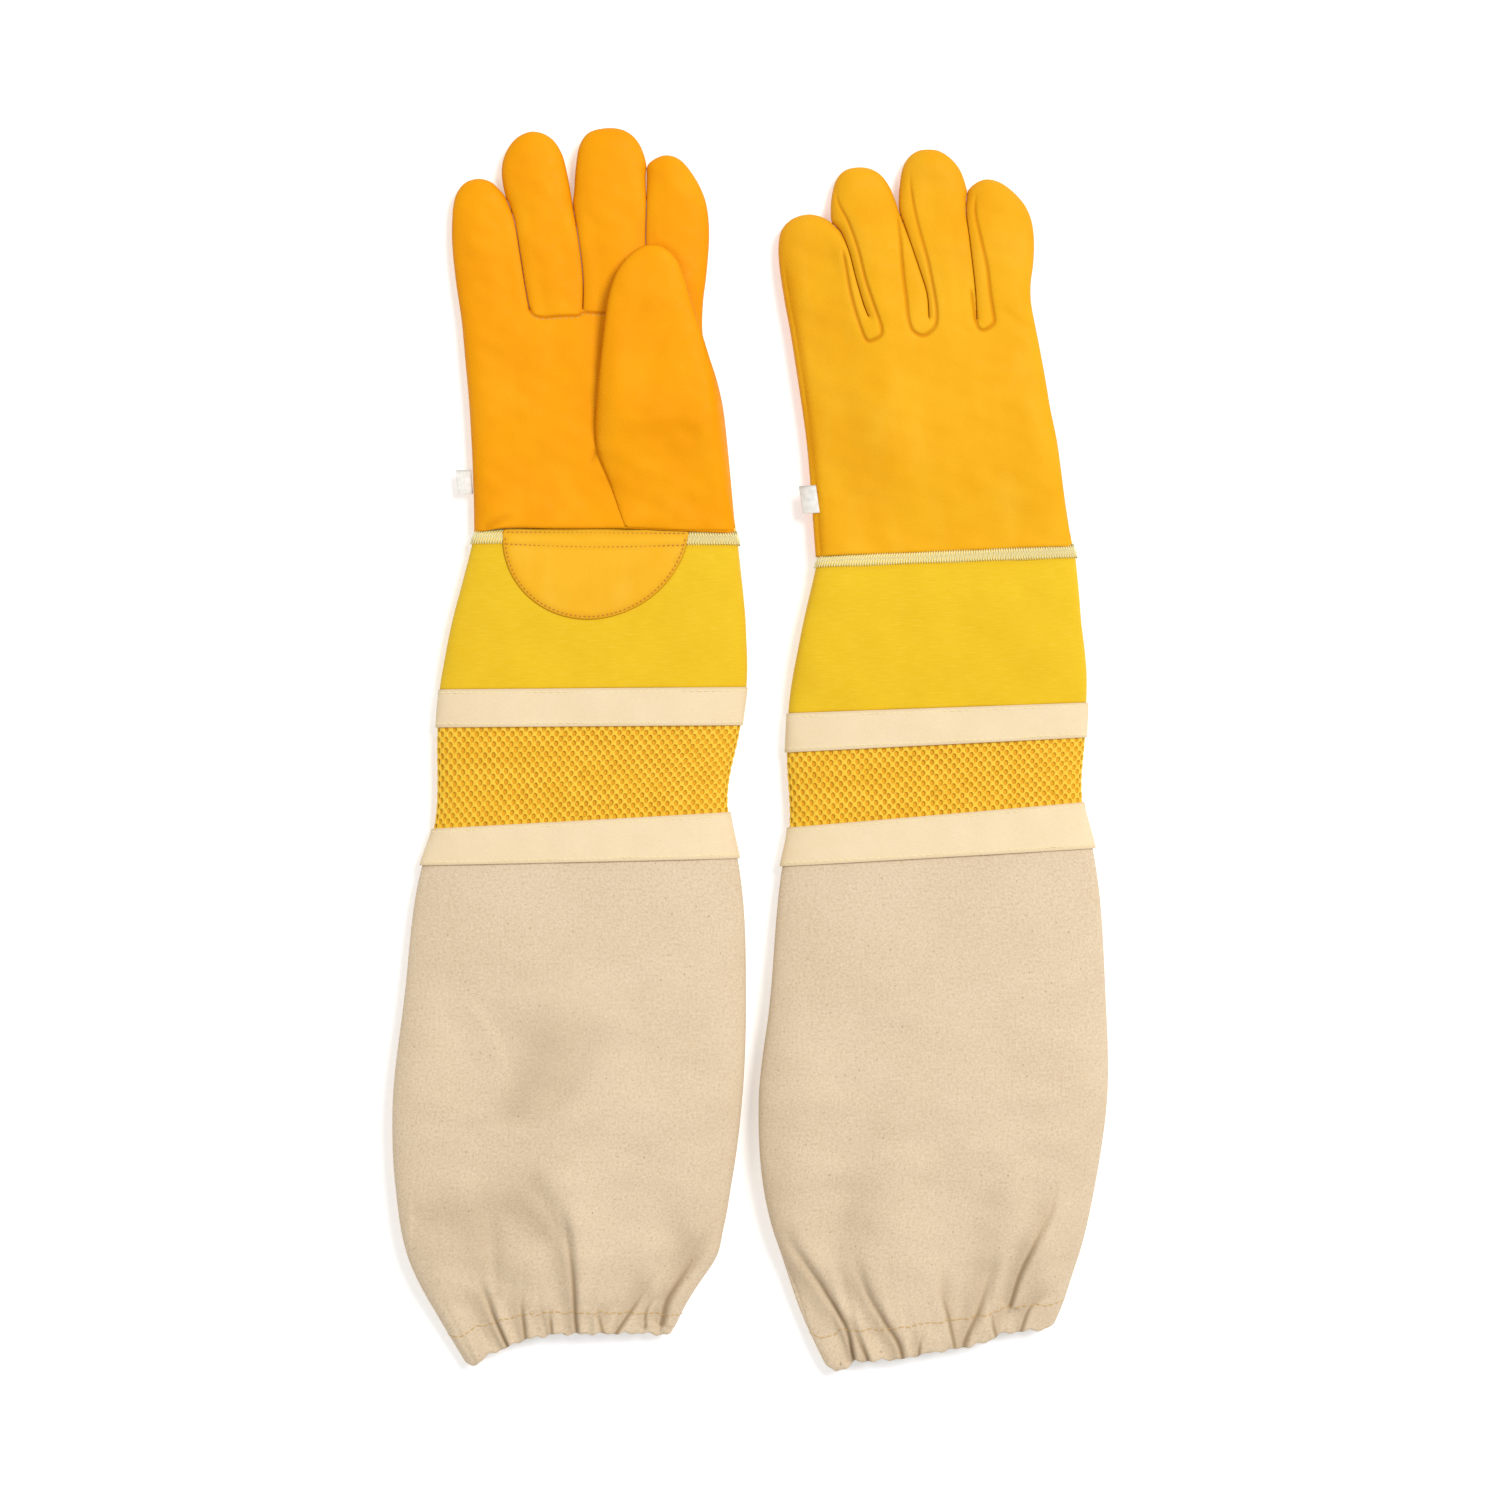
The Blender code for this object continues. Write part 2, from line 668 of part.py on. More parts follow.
def add_gauntlet(collection, glove):
    """The bands below the wrist seam, from the binding to the elastic hem."""
    fold = sum(cuff_hinge(glove), Vector()) / 2.0
    at = glove.distance_to
    bands = (
        ("wrist_binding", GAP, BINDING_LENGTH, 2, BINDING),
        ("cotton_cuff", BINDING_LENGTH, at("cuff_end"), 4, COTTON),
        ("upper_tape", at("cuff_end"), at("upper_tape_end"), 2, TAPE),
        ("mesh_band", at("upper_tape_end"), at("mesh_end"), 3, MESH),
        ("lower_tape", at("mesh_end"), at("lower_tape_end"), 2, TAPE),
        ("canvas_sleeve", at("lower_tape_end"), at("hem_stitch"), 9, CANVAS),
    )
    for name, start, end, sections, finish in bands:
        mesh = tube(glove, start, end, FABRIC, sections)
        add_piece(collection, f"{glove.side}_{name}", mesh, fold, finish)
    add_piece(collection, f"{glove.side}_hem_casing", hem_casing(glove), fold, CANVAS)
    add_piece(collection, f"{glove.side}_hem_elastic", hem_elastic(glove), fold, RUBBER)


def add_patch(collection, glove):
    """The leather half moon on the palm side of the cuff."""
    if glove.palm_up:
        low = GAUNTLET_HEIGHTS[0] + GAP
    else:
        low = PATCH_ROOM - GAP - PATCH_THICKNESS
    mesh = flat_outline(patch_outline(), low, low + PATCH_THICKNESS)
    for vertex in mesh.vertices:
        flat = glove.hand_point(vertex.co.x, vertex.co.y, 0.0)
        vertex.co = (flat.x, flat.y, vertex.co.z * MM)
    fold = sum(cuff_hinge(glove), Vector()) / 2.0
    add_piece(collection, f"{glove.side}_wrist_patch", mesh, fold, LEATHER_BACK)


def add_glove(collection, glove):
    fold = sum(cuff_hinge(glove), Vector()) / 2.0
    for name, mesh in hand_pieces().items():
        finish = LEATHER_BACK if name == "back_panel" else LEATHER_PALM
        add_hand_piece(collection, glove, name, mesh, fold, finish)
    for finger in FINGER_NAMES:
        hinge = sum(finger_hinge(glove, finger), Vector()) / 2.0
        for name, mesh in finger_tip_pieces(finger).items():
            finish = LEATHER_BACK if name.endswith("back") else LEATHER_PALM
            add_hand_piece(collection, glove, name, mesh, hinge, finish)
    hinge = sum(thumb_hinge(glove), Vector()) / 2.0 if glove.palm_up else thumb_hinge(glove)[1]
    for name, mesh in thumb_pieces().items():
        add_hand_piece(collection, glove, name, mesh, hinge, LEATHER_BACK)
    tag_low = SIDE_SEAM_DEPTH - TAG_THICKNESS / 2
    tag = block((TAG_LEFT, TAG_LOW_Y, tag_low), (TAG_RIGHT, TAG_HIGH_Y, tag_low + TAG_THICKNESS))
    add_hand_piece(collection, glove, "size_tag", tag, fold, LABEL)
    add_gauntlet(collection, glove)
    add_patch(collection, glove)


def main():
    clear_scene()
    collection = bpy.data.collections.new("beekeeping_gloves")
    bpy.context.scene.collection.children.link(collection)
    for glove in (RIGHT_GLOVE, LEFT_GLOVE):
        add_glove(collection, glove)


main()
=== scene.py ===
"""Beekeeping gloves, as seen lying flat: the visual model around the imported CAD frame.

Lengths are in millimetres until a mesh is placed. Each hand is shaped in a hand frame: x runs from
the little finger's side to the index finger's, y from the wrist seam to the fingertips, and depth
from the back of the hand to the palm. Each gauntlet is shaped by its distance from the wrist seam.
"""

import math

import bpy
import numpy as np
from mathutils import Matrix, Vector
from mathutils.geometry import delaunay_2d_cdt


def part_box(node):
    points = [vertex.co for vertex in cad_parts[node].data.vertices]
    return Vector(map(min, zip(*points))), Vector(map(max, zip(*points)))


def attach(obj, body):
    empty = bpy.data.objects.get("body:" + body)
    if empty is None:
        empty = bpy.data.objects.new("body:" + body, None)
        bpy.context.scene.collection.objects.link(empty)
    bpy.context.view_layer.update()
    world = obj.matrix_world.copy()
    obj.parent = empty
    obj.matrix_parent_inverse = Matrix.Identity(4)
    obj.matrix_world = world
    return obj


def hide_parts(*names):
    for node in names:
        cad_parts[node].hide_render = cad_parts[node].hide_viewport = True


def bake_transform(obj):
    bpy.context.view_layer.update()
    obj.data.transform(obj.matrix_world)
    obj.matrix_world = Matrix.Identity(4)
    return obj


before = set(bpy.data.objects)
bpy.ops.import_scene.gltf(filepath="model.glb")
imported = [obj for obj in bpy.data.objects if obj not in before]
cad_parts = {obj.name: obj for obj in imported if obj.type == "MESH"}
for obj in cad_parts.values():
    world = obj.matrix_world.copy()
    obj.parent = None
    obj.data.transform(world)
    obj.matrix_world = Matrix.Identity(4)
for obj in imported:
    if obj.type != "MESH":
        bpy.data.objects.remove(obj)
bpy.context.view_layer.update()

MM = 0.001
TEXTURE_MAP = "cloth"
SIDES = ("right", "left")
FINGERS = ("little", "ring", "middle", "index")

# ---------------------------------------------------------------- where each glove lies

PALM_DEPTH = 12.0
FINGER_DEPTH = 10.4
FINGER_BACK = 0.4
SEAM_DEPTH = 5.6
FINGER_HINGE_Y = 127.0
FINGER_BLEND = 12.5  # how far beyond its hinge each fingertip's end point is placed
FINGER_CUT_Y = 120.0
THUMB_LOW = 12.5
THUMB_HIGH = 20.5
THUMB_HINGE = ((2.6, 43.7), (50.8, 77.3))
PATCH_CENTRE = -4.3
PATCH_HALF = 39.2
PATCH_TOP = -2.8
PATCH_LENGTH = 38.0

STATION_NAMES = (
    "wrist", "cuff_end", "upper_tape_end", "mesh_end", "lower_tape_end", "shoulder",
    "widest", "narrowing", "gathers", "hem_stitch", "hem_end",
)
GAUNTLET_HEIGHTS = (13.0, 13.0, 13.5, 14.0, 15.0, 20.0, 23.0, 22.0, 20.0, 16.5, 14.0)
SUNK = 1.0  # how far each oval section would reach below the floor, which flattens its underside
WRIST_DIP = 1.6  # how much lower the cuff is where the leather lies over it
# The palm-down glove is held off the floor by its patch at the wrist and its thumb under the palm
PATCH_LIFT = 1.5
THUMB_LIFT = 8.5
TIP_FALL = 1.6
UNDER_THUMB_LEVEL = 8.9  # the height of the hand frame's palm where the thumb lies beneath it


def smooth(low, high, value):
    """0 below low, 1 above high, and an S-curve between them."""
    part = np.clip((np.asarray(value, float) - low) / (high - low), 0.0, 1.0)
    return part * part * (3.0 - 2.0 * part)


def between(values, slopes, spans, index, t):
    """A cubic curve's point in one span of it, t of the way along the span."""
    return (
        values[index] * (1 + 2 * t) * (1 - t) ** 2
        + slopes[index] * spans[index] * t * (1 - t) ** 2
        + values[index + 1] * t**2 * (3 - 2 * t)
        + slopes[index + 1] * spans[index] * t**2 * (t - 1)
    )


def hand_rise(x, y):
    """How far the palm-down hand is held off the floor by what is folded beneath it."""
    across_thumb = smooth(-54.0, -10.0, x)
    up_the_hand = smooth(0.0, 48.0, y)
    at_tips = smooth(127.0, 158.0, y)
    over_thumb = THUMB_LIFT * across_thumb * (up_the_hand - at_tips)
    return over_thumb + PATCH_LIFT * (1.0 - up_the_hand) - TIP_FALL * at_tips


class Glove:
    """Where one glove lies: its wrist, its hand's turn and lean, and its gauntlet's edges."""

    def __init__(self, side, wrist, turn, lean, edges):
        self.side = side
        self.palm_up = side == "right"
        self.wrist = wrist
        self.turn = turn
        self.lean = math.tan(math.radians(lean))
        self.edges = np.array(edges, float)
        centres = (self.edges[:, :2] + self.edges[:, 2:]) / 2.0
        steps = np.linalg.norm(np.diff(centres, axis=0), axis=1)
        self.distances = np.concatenate(([0.0], np.cumsum(steps)))
        self.slopes = np.gradient(self.edges, self.distances, axis=0)

    def hand_points(self, x, y, depth):
        """Points of the hand frame in the world."""
        across = x - self.lean * np.maximum(y, 0.0)
        cosine, sine = math.cos(self.turn), math.sin(self.turn)
        world_x = self.wrist[0] + across * cosine - y * sine
        world_y = self.wrist[1] + across * sine + y * cosine
        height = depth if self.palm_up else PALM_DEPTH - depth + hand_rise(x, y)
        return np.stack((world_x, world_y, height), axis=-1)

    def distance_to(self, station):
        return float(self.distances[STATION_NAMES.index(station)])

    def edge_at(self, distance):
        """The gauntlet's left and right edges at a distance from the wrist seam."""
        spans = np.diff(self.distances)
        index = np.searchsorted(self.distances, distance, "right") - 1
        index = int(np.clip(index, 0, len(spans) - 1))
        t = (distance - self.distances[index]) / spans[index]
        edge = between(self.edges, self.slopes, spans, index, t)
        return edge[:2], edge[2:]

    def section(self, distance):
        """The gauntlet's cross-section: centre, direction, half-width, low, middle, reach and fullness."""
        left, right = self.edge_at(distance)
        half = float(np.linalg.norm(right - left)) / 2.0
        low = 0.0 if self.palm_up else PATCH_LIFT * (1.0 - smooth(38.0, 64.5, distance))
        high = float(np.interp(distance, self.distances, GAUNTLET_HEIGHTS))
        high += low - WRIST_DIP * (1.0 - smooth(0.0, 22.0, distance))
        middle, reach = (high + low - SUNK) / 2.0, (high - low + SUNK) / 2.0
        fullness = 5.4 - 2.7 * smooth(0.0, 100.0, distance) - 0.3 * smooth(100.0, 190.0, distance)
        return (left + right) / 2.0, (right - left) / (2.0 * half), half, low, middle, reach, fullness

    def ring(self, distance, inset, count):
        """An evenly spaced ring of the gauntlet: points, outward normals, places across and along it."""
        centre, direction, half, low, middle, reach, fullness = self.section(distance)
        angle = np.linspace(0.0, math.tau, 721)
        power = 2.0 / fullness
        across = np.sign(np.cos(angle)) * np.abs(np.cos(angle)) ** power
        rise = np.sign(np.sin(angle)) * np.abs(np.sin(angle)) ** power
        across = across * (half - inset)
        height = np.maximum(middle + rise * (reach - inset), low + inset)
        length = np.concatenate(([0.0], np.cumsum(np.hypot(np.diff(across), np.diff(height)))))
        places = np.linspace(0.0, length[-1], count + 1)
        across = np.interp(places, length, across)
        height = np.interp(places, length, height)
        plan = centre + direction * across[:, None]
        wrapped = np.column_stack((across, height))
        wrapped = np.vstack((wrapped[-2], wrapped, wrapped[1]))
        tangent = wrapped[2:] - wrapped[:-2]
        tangent /= np.maximum(np.linalg.norm(tangent, axis=1), 1e-9)[:, None]
        normals = np.column_stack((direction * tangent[:, 1:], -tangent[:, 0]))
        return np.column_stack((plan, height)), normals, across / half, places

    def upper(self, across, distance, lift):
        """Points on the gauntlet's upper side, lift above it."""
        points = []
        for a, d, h in zip(across, distance, np.broadcast_to(lift, across.shape)):
            centre, direction, half, _, middle, reach, fullness = self.section(d)
            share = min(abs(a) / half, 1.0)
            height = middle + reach * (1.0 - share**fullness) ** (1.0 / fullness)
            points.append((*(centre + direction * a), height + h))
        return np.array(points)


RIGHT = Glove(
    "right",
    (-60.75, 89.35),
    0.0153834,
    4.0,
    (
        (-116.0, 89.0, -5.3, 88.2), (-130.4, 24.0, -2.0, 25.0), (-131.6, 8.4, -3.9, 9.3),
        (-133.3, -34.5, -9.0, -27.6), (-138.2, -49.6, -5.0, -46.6), (-145.7, -106.0, -1.4, -106.0),
        (-150.5, -152.5, -3.4, -152.5), (-149.5, -183.0, -7.1, -181.0),
        (-143.2, -217.0, -14.0, -212.0), (-131.0, -241.5, -25.8, -233.5),
        (-119.8, -260.8, -33.0, -247.0),
    ),
)
LEFT = Glove(
    "left",
    (82.55, 80.65),
    0.0379799,
    6.0,
    (
        (28.6, 78.6, 136.5, 82.7), (16.4, 14.0, 141.5, 18.5), (15.5, -2.1, 141.1, 4.2),
        (16.4, -34.0, 140.2, -23.4), (13.4, -50.0, 144.5, -42.4), (8.0, -108.0, 149.8, -104.0),
        (3.4, -150.0, 150.4, -147.0), (5.5, -184.0, 146.2, -179.0), (14.3, -218.0, 139.0, -212.0),
        (22.9, -243.0, 132.6, -229.3), (32.0, -261.0, 127.6, -243.0),
    ),
)
GLOVES = {"right": RIGHT, "left": LEFT}

# ---------------------------------------------------------------- the shapes of the hands

# The creases between fingers run from the crotch to where the fingers part. The outer paths run
# from one crease to the next, the first from the wrist and the last back to it.
CREASES = {
    "right": (
        ((-24.0, 95.5), (-25.0, 106.4), (-25.8, 118.0), (-27.3, 133.8), (-30.0, 143.0)),
        ((-1.5, 95.0), (-0.4, 106.0), (-0.3, 114.0), (-1.0, 127.0), (-2.0, 140.0)),
        ((26.2, 96.0), (26.7, 108.0), (27.3, 122.5), (28.9, 138.0), (30.4, 154.5)),
    ),
    "left": (
        ((-18.6, 101.0), (-19.6, 104.7), (-21.5, 117.6), (-22.8, 129.0), (-25.0, 137.5), (-27.8, 141.5)),
        ((6.6, 99.5), (7.2, 109.0), (5.7, 118.8), (3.7, 129.4), (2.4, 137.0), (1.0, 145.4)),
        ((26.4, 98.0), (27.5, 109.0), (27.9, 119.5), (28.3, 133.0), (28.9, 144.3), (30.8, 152.5)),
    ),
}
OUTER = {
    "right": (
        ((-55.3, 1.9), (-54.3, 16.0), (-53.3, 37.5), (-52.8, 57.0), (-52.9, 74.0), (-53.0, 91.0),
         (-54.0, 108.0), (-54.2, 124.5), (-53.3, 134.2), (-52.3, 140.0), (-50.2, 145.4),
         (-46.2, 149.5), (-40.5, 150.9), (-35.7, 149.5), (-32.5, 146.3)),
        ((-30.9, 152.3), (-30.0, 157.8), (-27.6, 163.0), (-23.2, 167.9), (-17.1, 170.4),
         (-12.1, 169.6), (-8.0, 166.8), (-4.8, 161.0), (-3.2, 152.0)),
        ((-1.0, 145.0), (0.4, 154.3), (3.0, 164.3), (6.9, 169.4), (13.5, 171.3), (20.6, 170.9),
         (25.4, 168.3), (28.6, 163.5), (30.2, 157.5)),
        ((33.2, 157.6), (39.0, 159.6), (44.5, 157.8), (50.0, 150.6), (53.7, 141.4), (54.6, 132.5),
         (54.0, 122.9), (51.6, 108.4), (49.3, 97.2), (48.0, 84.0), (49.3, 73.9), (51.8, 64.0),
         (53.4, 53.0), (53.9, 38.5), (54.2, 17.0), (55.0, -0.3)),
    ),
    "left": (
        ((-54.8, 1.3), (-53.7, 16.8), (-52.5, 33.6), (-51.6, 50.5), (-51.5, 66.0), (-51.6, 79.6),
         (-51.8, 96.0), (-52.4, 111.0), (-52.4, 125.0), (-51.7, 132.3), (-49.8, 138.8),
         (-46.5, 142.7), (-42.2, 145.0), (-36.8, 145.8), (-31.8, 144.4), (-29.0, 142.5)),
        ((-27.7, 146.5), (-26.0, 153.9), (-23.1, 160.4), (-19.2, 163.9), (-13.8, 165.0),
         (-8.7, 164.3), (-4.5, 161.6), (-1.6, 156.8), (0.2, 150.0)),
        ((1.6, 150.5), (3.0, 157.0), (5.2, 163.8), (8.5, 168.5), (12.5, 170.9), (16.4, 171.4),
         (21.5, 170.6), (26.2, 167.0), (29.3, 162.0), (30.6, 156.0)),
        ((32.3, 154.4), (34.7, 156.3), (38.0, 157.7), (41.6, 157.7), (45.9, 155.9), (50.3, 151.8),
         (54.0, 146.0), (55.6, 139.5), (55.3, 130.5), (53.6, 120.8), (51.2, 111.8), (50.3, 104.3),
         (50.6, 96.0), (51.2, 84.7), (51.7, 71.9), (52.0, 59.2), (52.8, 46.5), (52.9, 21.2),
         (53.2, 8.6), (53.6, 1.5)),
    ),
}
THUMB_LEFT_SIDE = (
    (8.7, 2.9), (7.3, 8.0), (3.6, 22.1), (-0.2, 34.5), (-0.6, 43.6), (1.4, 57.7), (3.6, 69.7),
    (6.0, 81.8), (7.9, 91.4), (10.6, 101.8), (14.6, 110.4), (20.4, 116.9), (25.2, 120.1),
    (29.6, 121.0), (33.7, 120.3), (37.4, 117.9),
)
THUMB_RIGHT_SIDE = (
    (37.4, 117.9), (40.5, 113.4), (42.5, 106.9), (44.2, 98.9), (46.0, 90.8), (47.9, 83.0),
    (49.9, 73.9), (52.3, 64.0), (53.9, 53.0), (54.4, 38.5), (54.6, 17.0), (54.7, 0.9),
)
# Fourchette borders on the back, each down its left side, round its end and up its right side
STRIPS = {
    "little_ring": (
        (-25.6, 131.0), (-25.1, 123.8), (-24.6, 110.2), (-22.7, 97.3), (-21.2, 91.4), (-20.2, 90.3),
        (-16.0, 91.6), (-14.6, 92.6), (-13.9, 95.6), (-15.6, 104.6), (-17.7, 116.0), (-19.0, 128.8),
        (-21.2, 140.9), (-24.2, 151.0), (-23.2, 159.0),
    ),
    "ring_middle": (
        (0.4, 146.0), (-0.6, 134.2), (-1.6, 119.1), (-1.8, 107.8), (-2.0, 98.0), (-0.9, 93.8),
        (2.7, 91.7), (6.6, 93.4), (9.0, 96.4), (10.1, 103.0), (10.0, 111.1), (9.4, 122.5),
        (7.8, 136.8), (7.2, 148.9), (7.4, 158.0), (8.9, 165.5),
    ),
    "middle_index": (
        (25.7, 112.0), (25.9, 104.0), (25.9, 97.5), (26.6, 93.9), (28.0, 93.0), (31.6, 94.4),
        (33.4, 96.4), (33.6, 99.0), (33.4, 106.5), (33.7, 119.3), (32.7, 132.9), (32.5, 144.2),
        (34.9, 153.6),
    ),
}
WRIST_EDGE = {
    "right": ((55.0, -0.3), (48.0, -0.1), (29.0, 1.0), (8.0, 2.2), (-18.0, 2.6), (-43.0, 3.1),
              (-50.0, 2.2), (-55.3, 1.9)),
    "left": ((53.6, 1.5), (40.0, 1.7), (10.0, 1.5), (-20.0, 1.4), (-45.0, 1.5), (-54.8, 1.3)),
}
SIDE_SEAM = (
    (-50.6, 134.0), (-49.8, 117.0), (-49.2, 99.0), (-48.7, 79.4), (-49.2, 63.0), (-49.8, 46.2),
    (-50.8, 25.1), (-52.0, 8.3), (-52.2, -0.6),
)
KNUCKLE_DIP = ((35.0, 103.0), (42.0, 97.0), (49.0, 89.0))
# Short creases in the palm: each path, its width and its depth
PALM_CREASES = (
    (((-52.0, 2.0), (-45.0, 6.0), (-36.0, 10.0)), 1.6, 0.9),
    (((-0.3, 36.0), (-2.0, 33.0), (-4.4, 28.0)), 1.2, 0.8),
)
CREASE_LEVEL = {"right": 8.2, "left": 2.2}  # the depth at which pressed fingers meet
STRIP_SHIFT = {"right": (-4.6, -6.0, -0.6), "left": (0.0, 0.0, 0.0)}
FRONT_SEAM = {
    "right": ((-24.0, 95.5), (-22.6, 92.9), (-19.6, 91.7), (-11.2, 91.9), (-3.4, 92.3),
              (-1.4, 93.6), (1.5, 93.2), (8.0, 93.0), (17.0, 93.0), (24.0, 93.6), (26.2, 96.0)),
    "left": ((-18.6, 101.0), (-17.0, 97.0), (-13.0, 94.6), (-3.0, 94.0), (5.0, 95.0),
             (6.6, 96.6), (9.0, 94.8), (17.0, 93.6), (24.0, 94.6), (26.4, 98.0)),
}
SLIT = 0.07  # half the width of the cut between two pressed fingers
NET_SPACING = 1.45
RIM_ROWS = (0.12, 0.4, 0.9, 1.6, 2.5)


def smooth_path(points, step):
    """A smooth curve through points, as points about step apart."""
    points = np.array(points, float)
    gaps = np.sqrt(np.linalg.norm(np.diff(points, axis=0), axis=1))
    knots = np.concatenate(([0.0], np.cumsum(gaps)))
    slopes = np.gradient(points, knots, axis=0)
    spans = np.diff(knots)
    t = np.linspace(0.0, 1.0, 17)[:-1, None]
    dense = [between(points, slopes, spans, index, t) for index in range(len(spans))]
    dense = np.concatenate(dense + [points[-1:]])
    length = path_lengths(dense)
    count = max(int(round(length[-1] / step)), 1) + 1
    places = np.linspace(0.0, length[-1], count)
    return np.column_stack([np.interp(places, length, dense[:, k]) for k in range(dense.shape[1])])


def path_lengths(path):
    steps = np.linalg.norm(np.diff(path, axis=0), axis=1)
    return np.concatenate(([0.0], np.cumsum(steps)))


def distance_to_path(points, path):
    """Each point's distance to a path, and how far along it the nearest place is, from 0 to 1."""
    start, step = path[:-1], np.diff(path, axis=0)
    squared = np.maximum((step**2).sum(1), 1e-12)
    lengths = path_lengths(path)
    best, along = np.empty(len(points)), np.empty(len(points))
    for first in range(0, len(points), 2000):
        part = points[first : first + 2000]
        away = part[:, None, :] - start[None]
        t = np.clip((away * step[None]).sum(2) / squared, 0.0, 1.0)
        gap = np.linalg.norm(away - t[..., None] * step[None], axis=2)
        nearest = gap.argmin(1)
        rows = np.arange(len(part))
        best[first : first + 2000] = gap[rows, nearest]
        reached = lengths[nearest] + t[rows, nearest] * np.sqrt(squared[nearest])
        along[first : first + 2000] = reached / lengths[-1]
    return best, along


def inside(points, polygon):
    """Which points lie in a closed polygon."""
    result = np.zeros(len(points), bool)
    x, y = points[:, 0], points[:, 1]
    for (ax, ay), (bx, by) in zip(polygon, np.roll(polygon, -1, axis=0)):
        if ay == by:
            continue
        crosses = (ay > y) != (by > y)
        result ^= crosses & (x < (bx - ax) * (y - ay) / (by - ay) + ax)
    return result


def rows_beside(path, offsets):
    """Copies of a path's points, moved sideways by each offset."""
    tangent = np.gradient(path, axis=0)
    tangent /= np.maximum(np.linalg.norm(tangent, axis=1), 1e-9)[:, None]
    normal = np.column_stack((-tangent[:, 1], tangent[:, 0]))
    return np.concatenate([path + normal * offset for offset in offsets])


def undulation(x, y, wavelength, seed):
    """A smooth, irregular surface between about -1 and 1."""
    draw = np.random.default_rng(seed)
    total = 0.0
    for _ in range(9):
        angle = draw.uniform(0.0, math.tau)
        number = math.tau / (wavelength * draw.uniform(0.65, 1.5))
        total = total + np.sin(
            number * (x * math.cos(angle) + y * math.sin(angle)) + draw.uniform(0.0, math.tau)
        )
    return total / 3.2


def rounding(distance, radius, power=2.5):
    """0 at an edge and 1 from radius inwards, rounded like a quarter of a full oval."""
    share = 1.0 - np.clip(distance / radius, 0.0, 1.0)
    return (1.0 - share**power) ** (1.0 / power)


class Net:
    """A flat triangle net inside an outline, with rows of points along its rim and its lines."""

    def __init__(self, outline, lines, spacing, rim_offsets, line_offsets):
        self.outline = outline
        low, high = outline.min(0) - 1.0, outline.max(0) + 1.0
        pitch = spacing * math.sqrt(0.75)
        lattice = []
        for row, y in enumerate(np.arange(low[1], high[1], pitch)):
            xs = np.arange(low[0] + (row % 2) * spacing / 2.0, high[0], spacing)
            lattice.append(np.column_stack((xs, np.full(len(xs), y))))
        lattice = np.concatenate(lattice)
        lattice = lattice[inside(lattice, outline)]
        closed = np.vstack((outline, outline[:1]))
        lattice = lattice[distance_to_path(lattice, closed)[0] > rim_offsets[-1] + 0.5 * spacing]
        beside = []
        for line in lines:
            clear = line_offsets[-1] + 0.5 * spacing
            lattice = lattice[distance_to_path(lattice, line)[0] > clear]
            rows = rows_beside(line, [s * o for o in line_offsets for s in (-1.0, 1.0)])
            beside.append(rows[distance_to_path(rows, line)[0] > 0.8 * line_offsets[0]])
        rim = []
        for offset in rim_offsets:
            for sign in (-1.0, 1.0):
                row = rows_beside(closed, (sign * offset,))[:-1]
                row = row[inside(row, outline)]
                rim.append(row[distance_to_path(row, closed)[0] > 0.85 * offset])
        extra = np.concatenate(rim + beside) if beside else np.concatenate(rim)
        extra = extra[inside(extra, outline)]
        extra = extra[distance_to_path(extra, closed)[0] > 0.08]
        points = [tuple(p) for p in outline]
        edges = [(k, (k + 1) % len(outline)) for k in range(len(outline))]
        for line in lines:
            first = len(points)
            points += [tuple(p) for p in line]
            edges += [(first + k, first + k + 1) for k in range(len(line) - 1)]
        keys, kept = set(), []
        for p in np.concatenate((extra, lattice)):
            key = (round(p[0] / 0.12), round(p[1] / 0.12))
            if key not in keys:
                keys.add(key)
                kept.append(tuple(p))
        result = delaunay_2d_cdt([*points, *kept], edges, [], 1, 1e-5)
        self.points = np.array([tuple(p) for p in result[0]], float)
        faces = np.array([f for f in result[2] if len(f) == 3], int)
        corners = self.points[faces]
        faces = faces[inside(corners.mean(1), outline)]
        corners = self.points[faces]
        ab, ac = corners[:, 1] - corners[:, 0], corners[:, 2] - corners[:, 0]
        area = ab[:, 0] * ac[:, 1] - ab[:, 1] * ac[:, 0]
        faces[area < 0] = faces[area < 0][:, ::-1]
        faces = faces[np.abs(area) > 1e-7]
        used = np.unique(faces)
        renumber = np.full(len(self.points), -1)
        renumber[used] = np.arange(len(used))
        self.points, self.faces = self.points[used], renumber[faces]
        self.centres = self.points[self.faces].mean(1)
        sides = np.concatenate([self.faces[:, [0, 1]], self.faces[:, [1, 2]], self.faces[:, [2, 0]]])
        keyed, counts = np.unique(np.sort(sides, axis=1), axis=0, return_counts=True)
        self.on_rim = np.zeros(len(self.points), bool)
        self.on_rim[keyed[counts == 1]] = True


def vertex_normals(points, faces):
    corners = points[faces]
    face_normals = np.cross(corners[:, 1] - corners[:, 0], corners[:, 2] - corners[:, 0])
    normals = np.zeros_like(points)
    for corner in range(faces.shape[1]):
        np.add.at(normals, faces[:, corner], face_normals)
    return normals / np.maximum(np.linalg.norm(normals, axis=1), 1e-12)[:, None]


def add_object(name, mesh, material):
    mesh.materials.append(material)
    made = bpy.data.objects.new(name, mesh)
    bpy.context.scene.collection.objects.link(made)
    return made


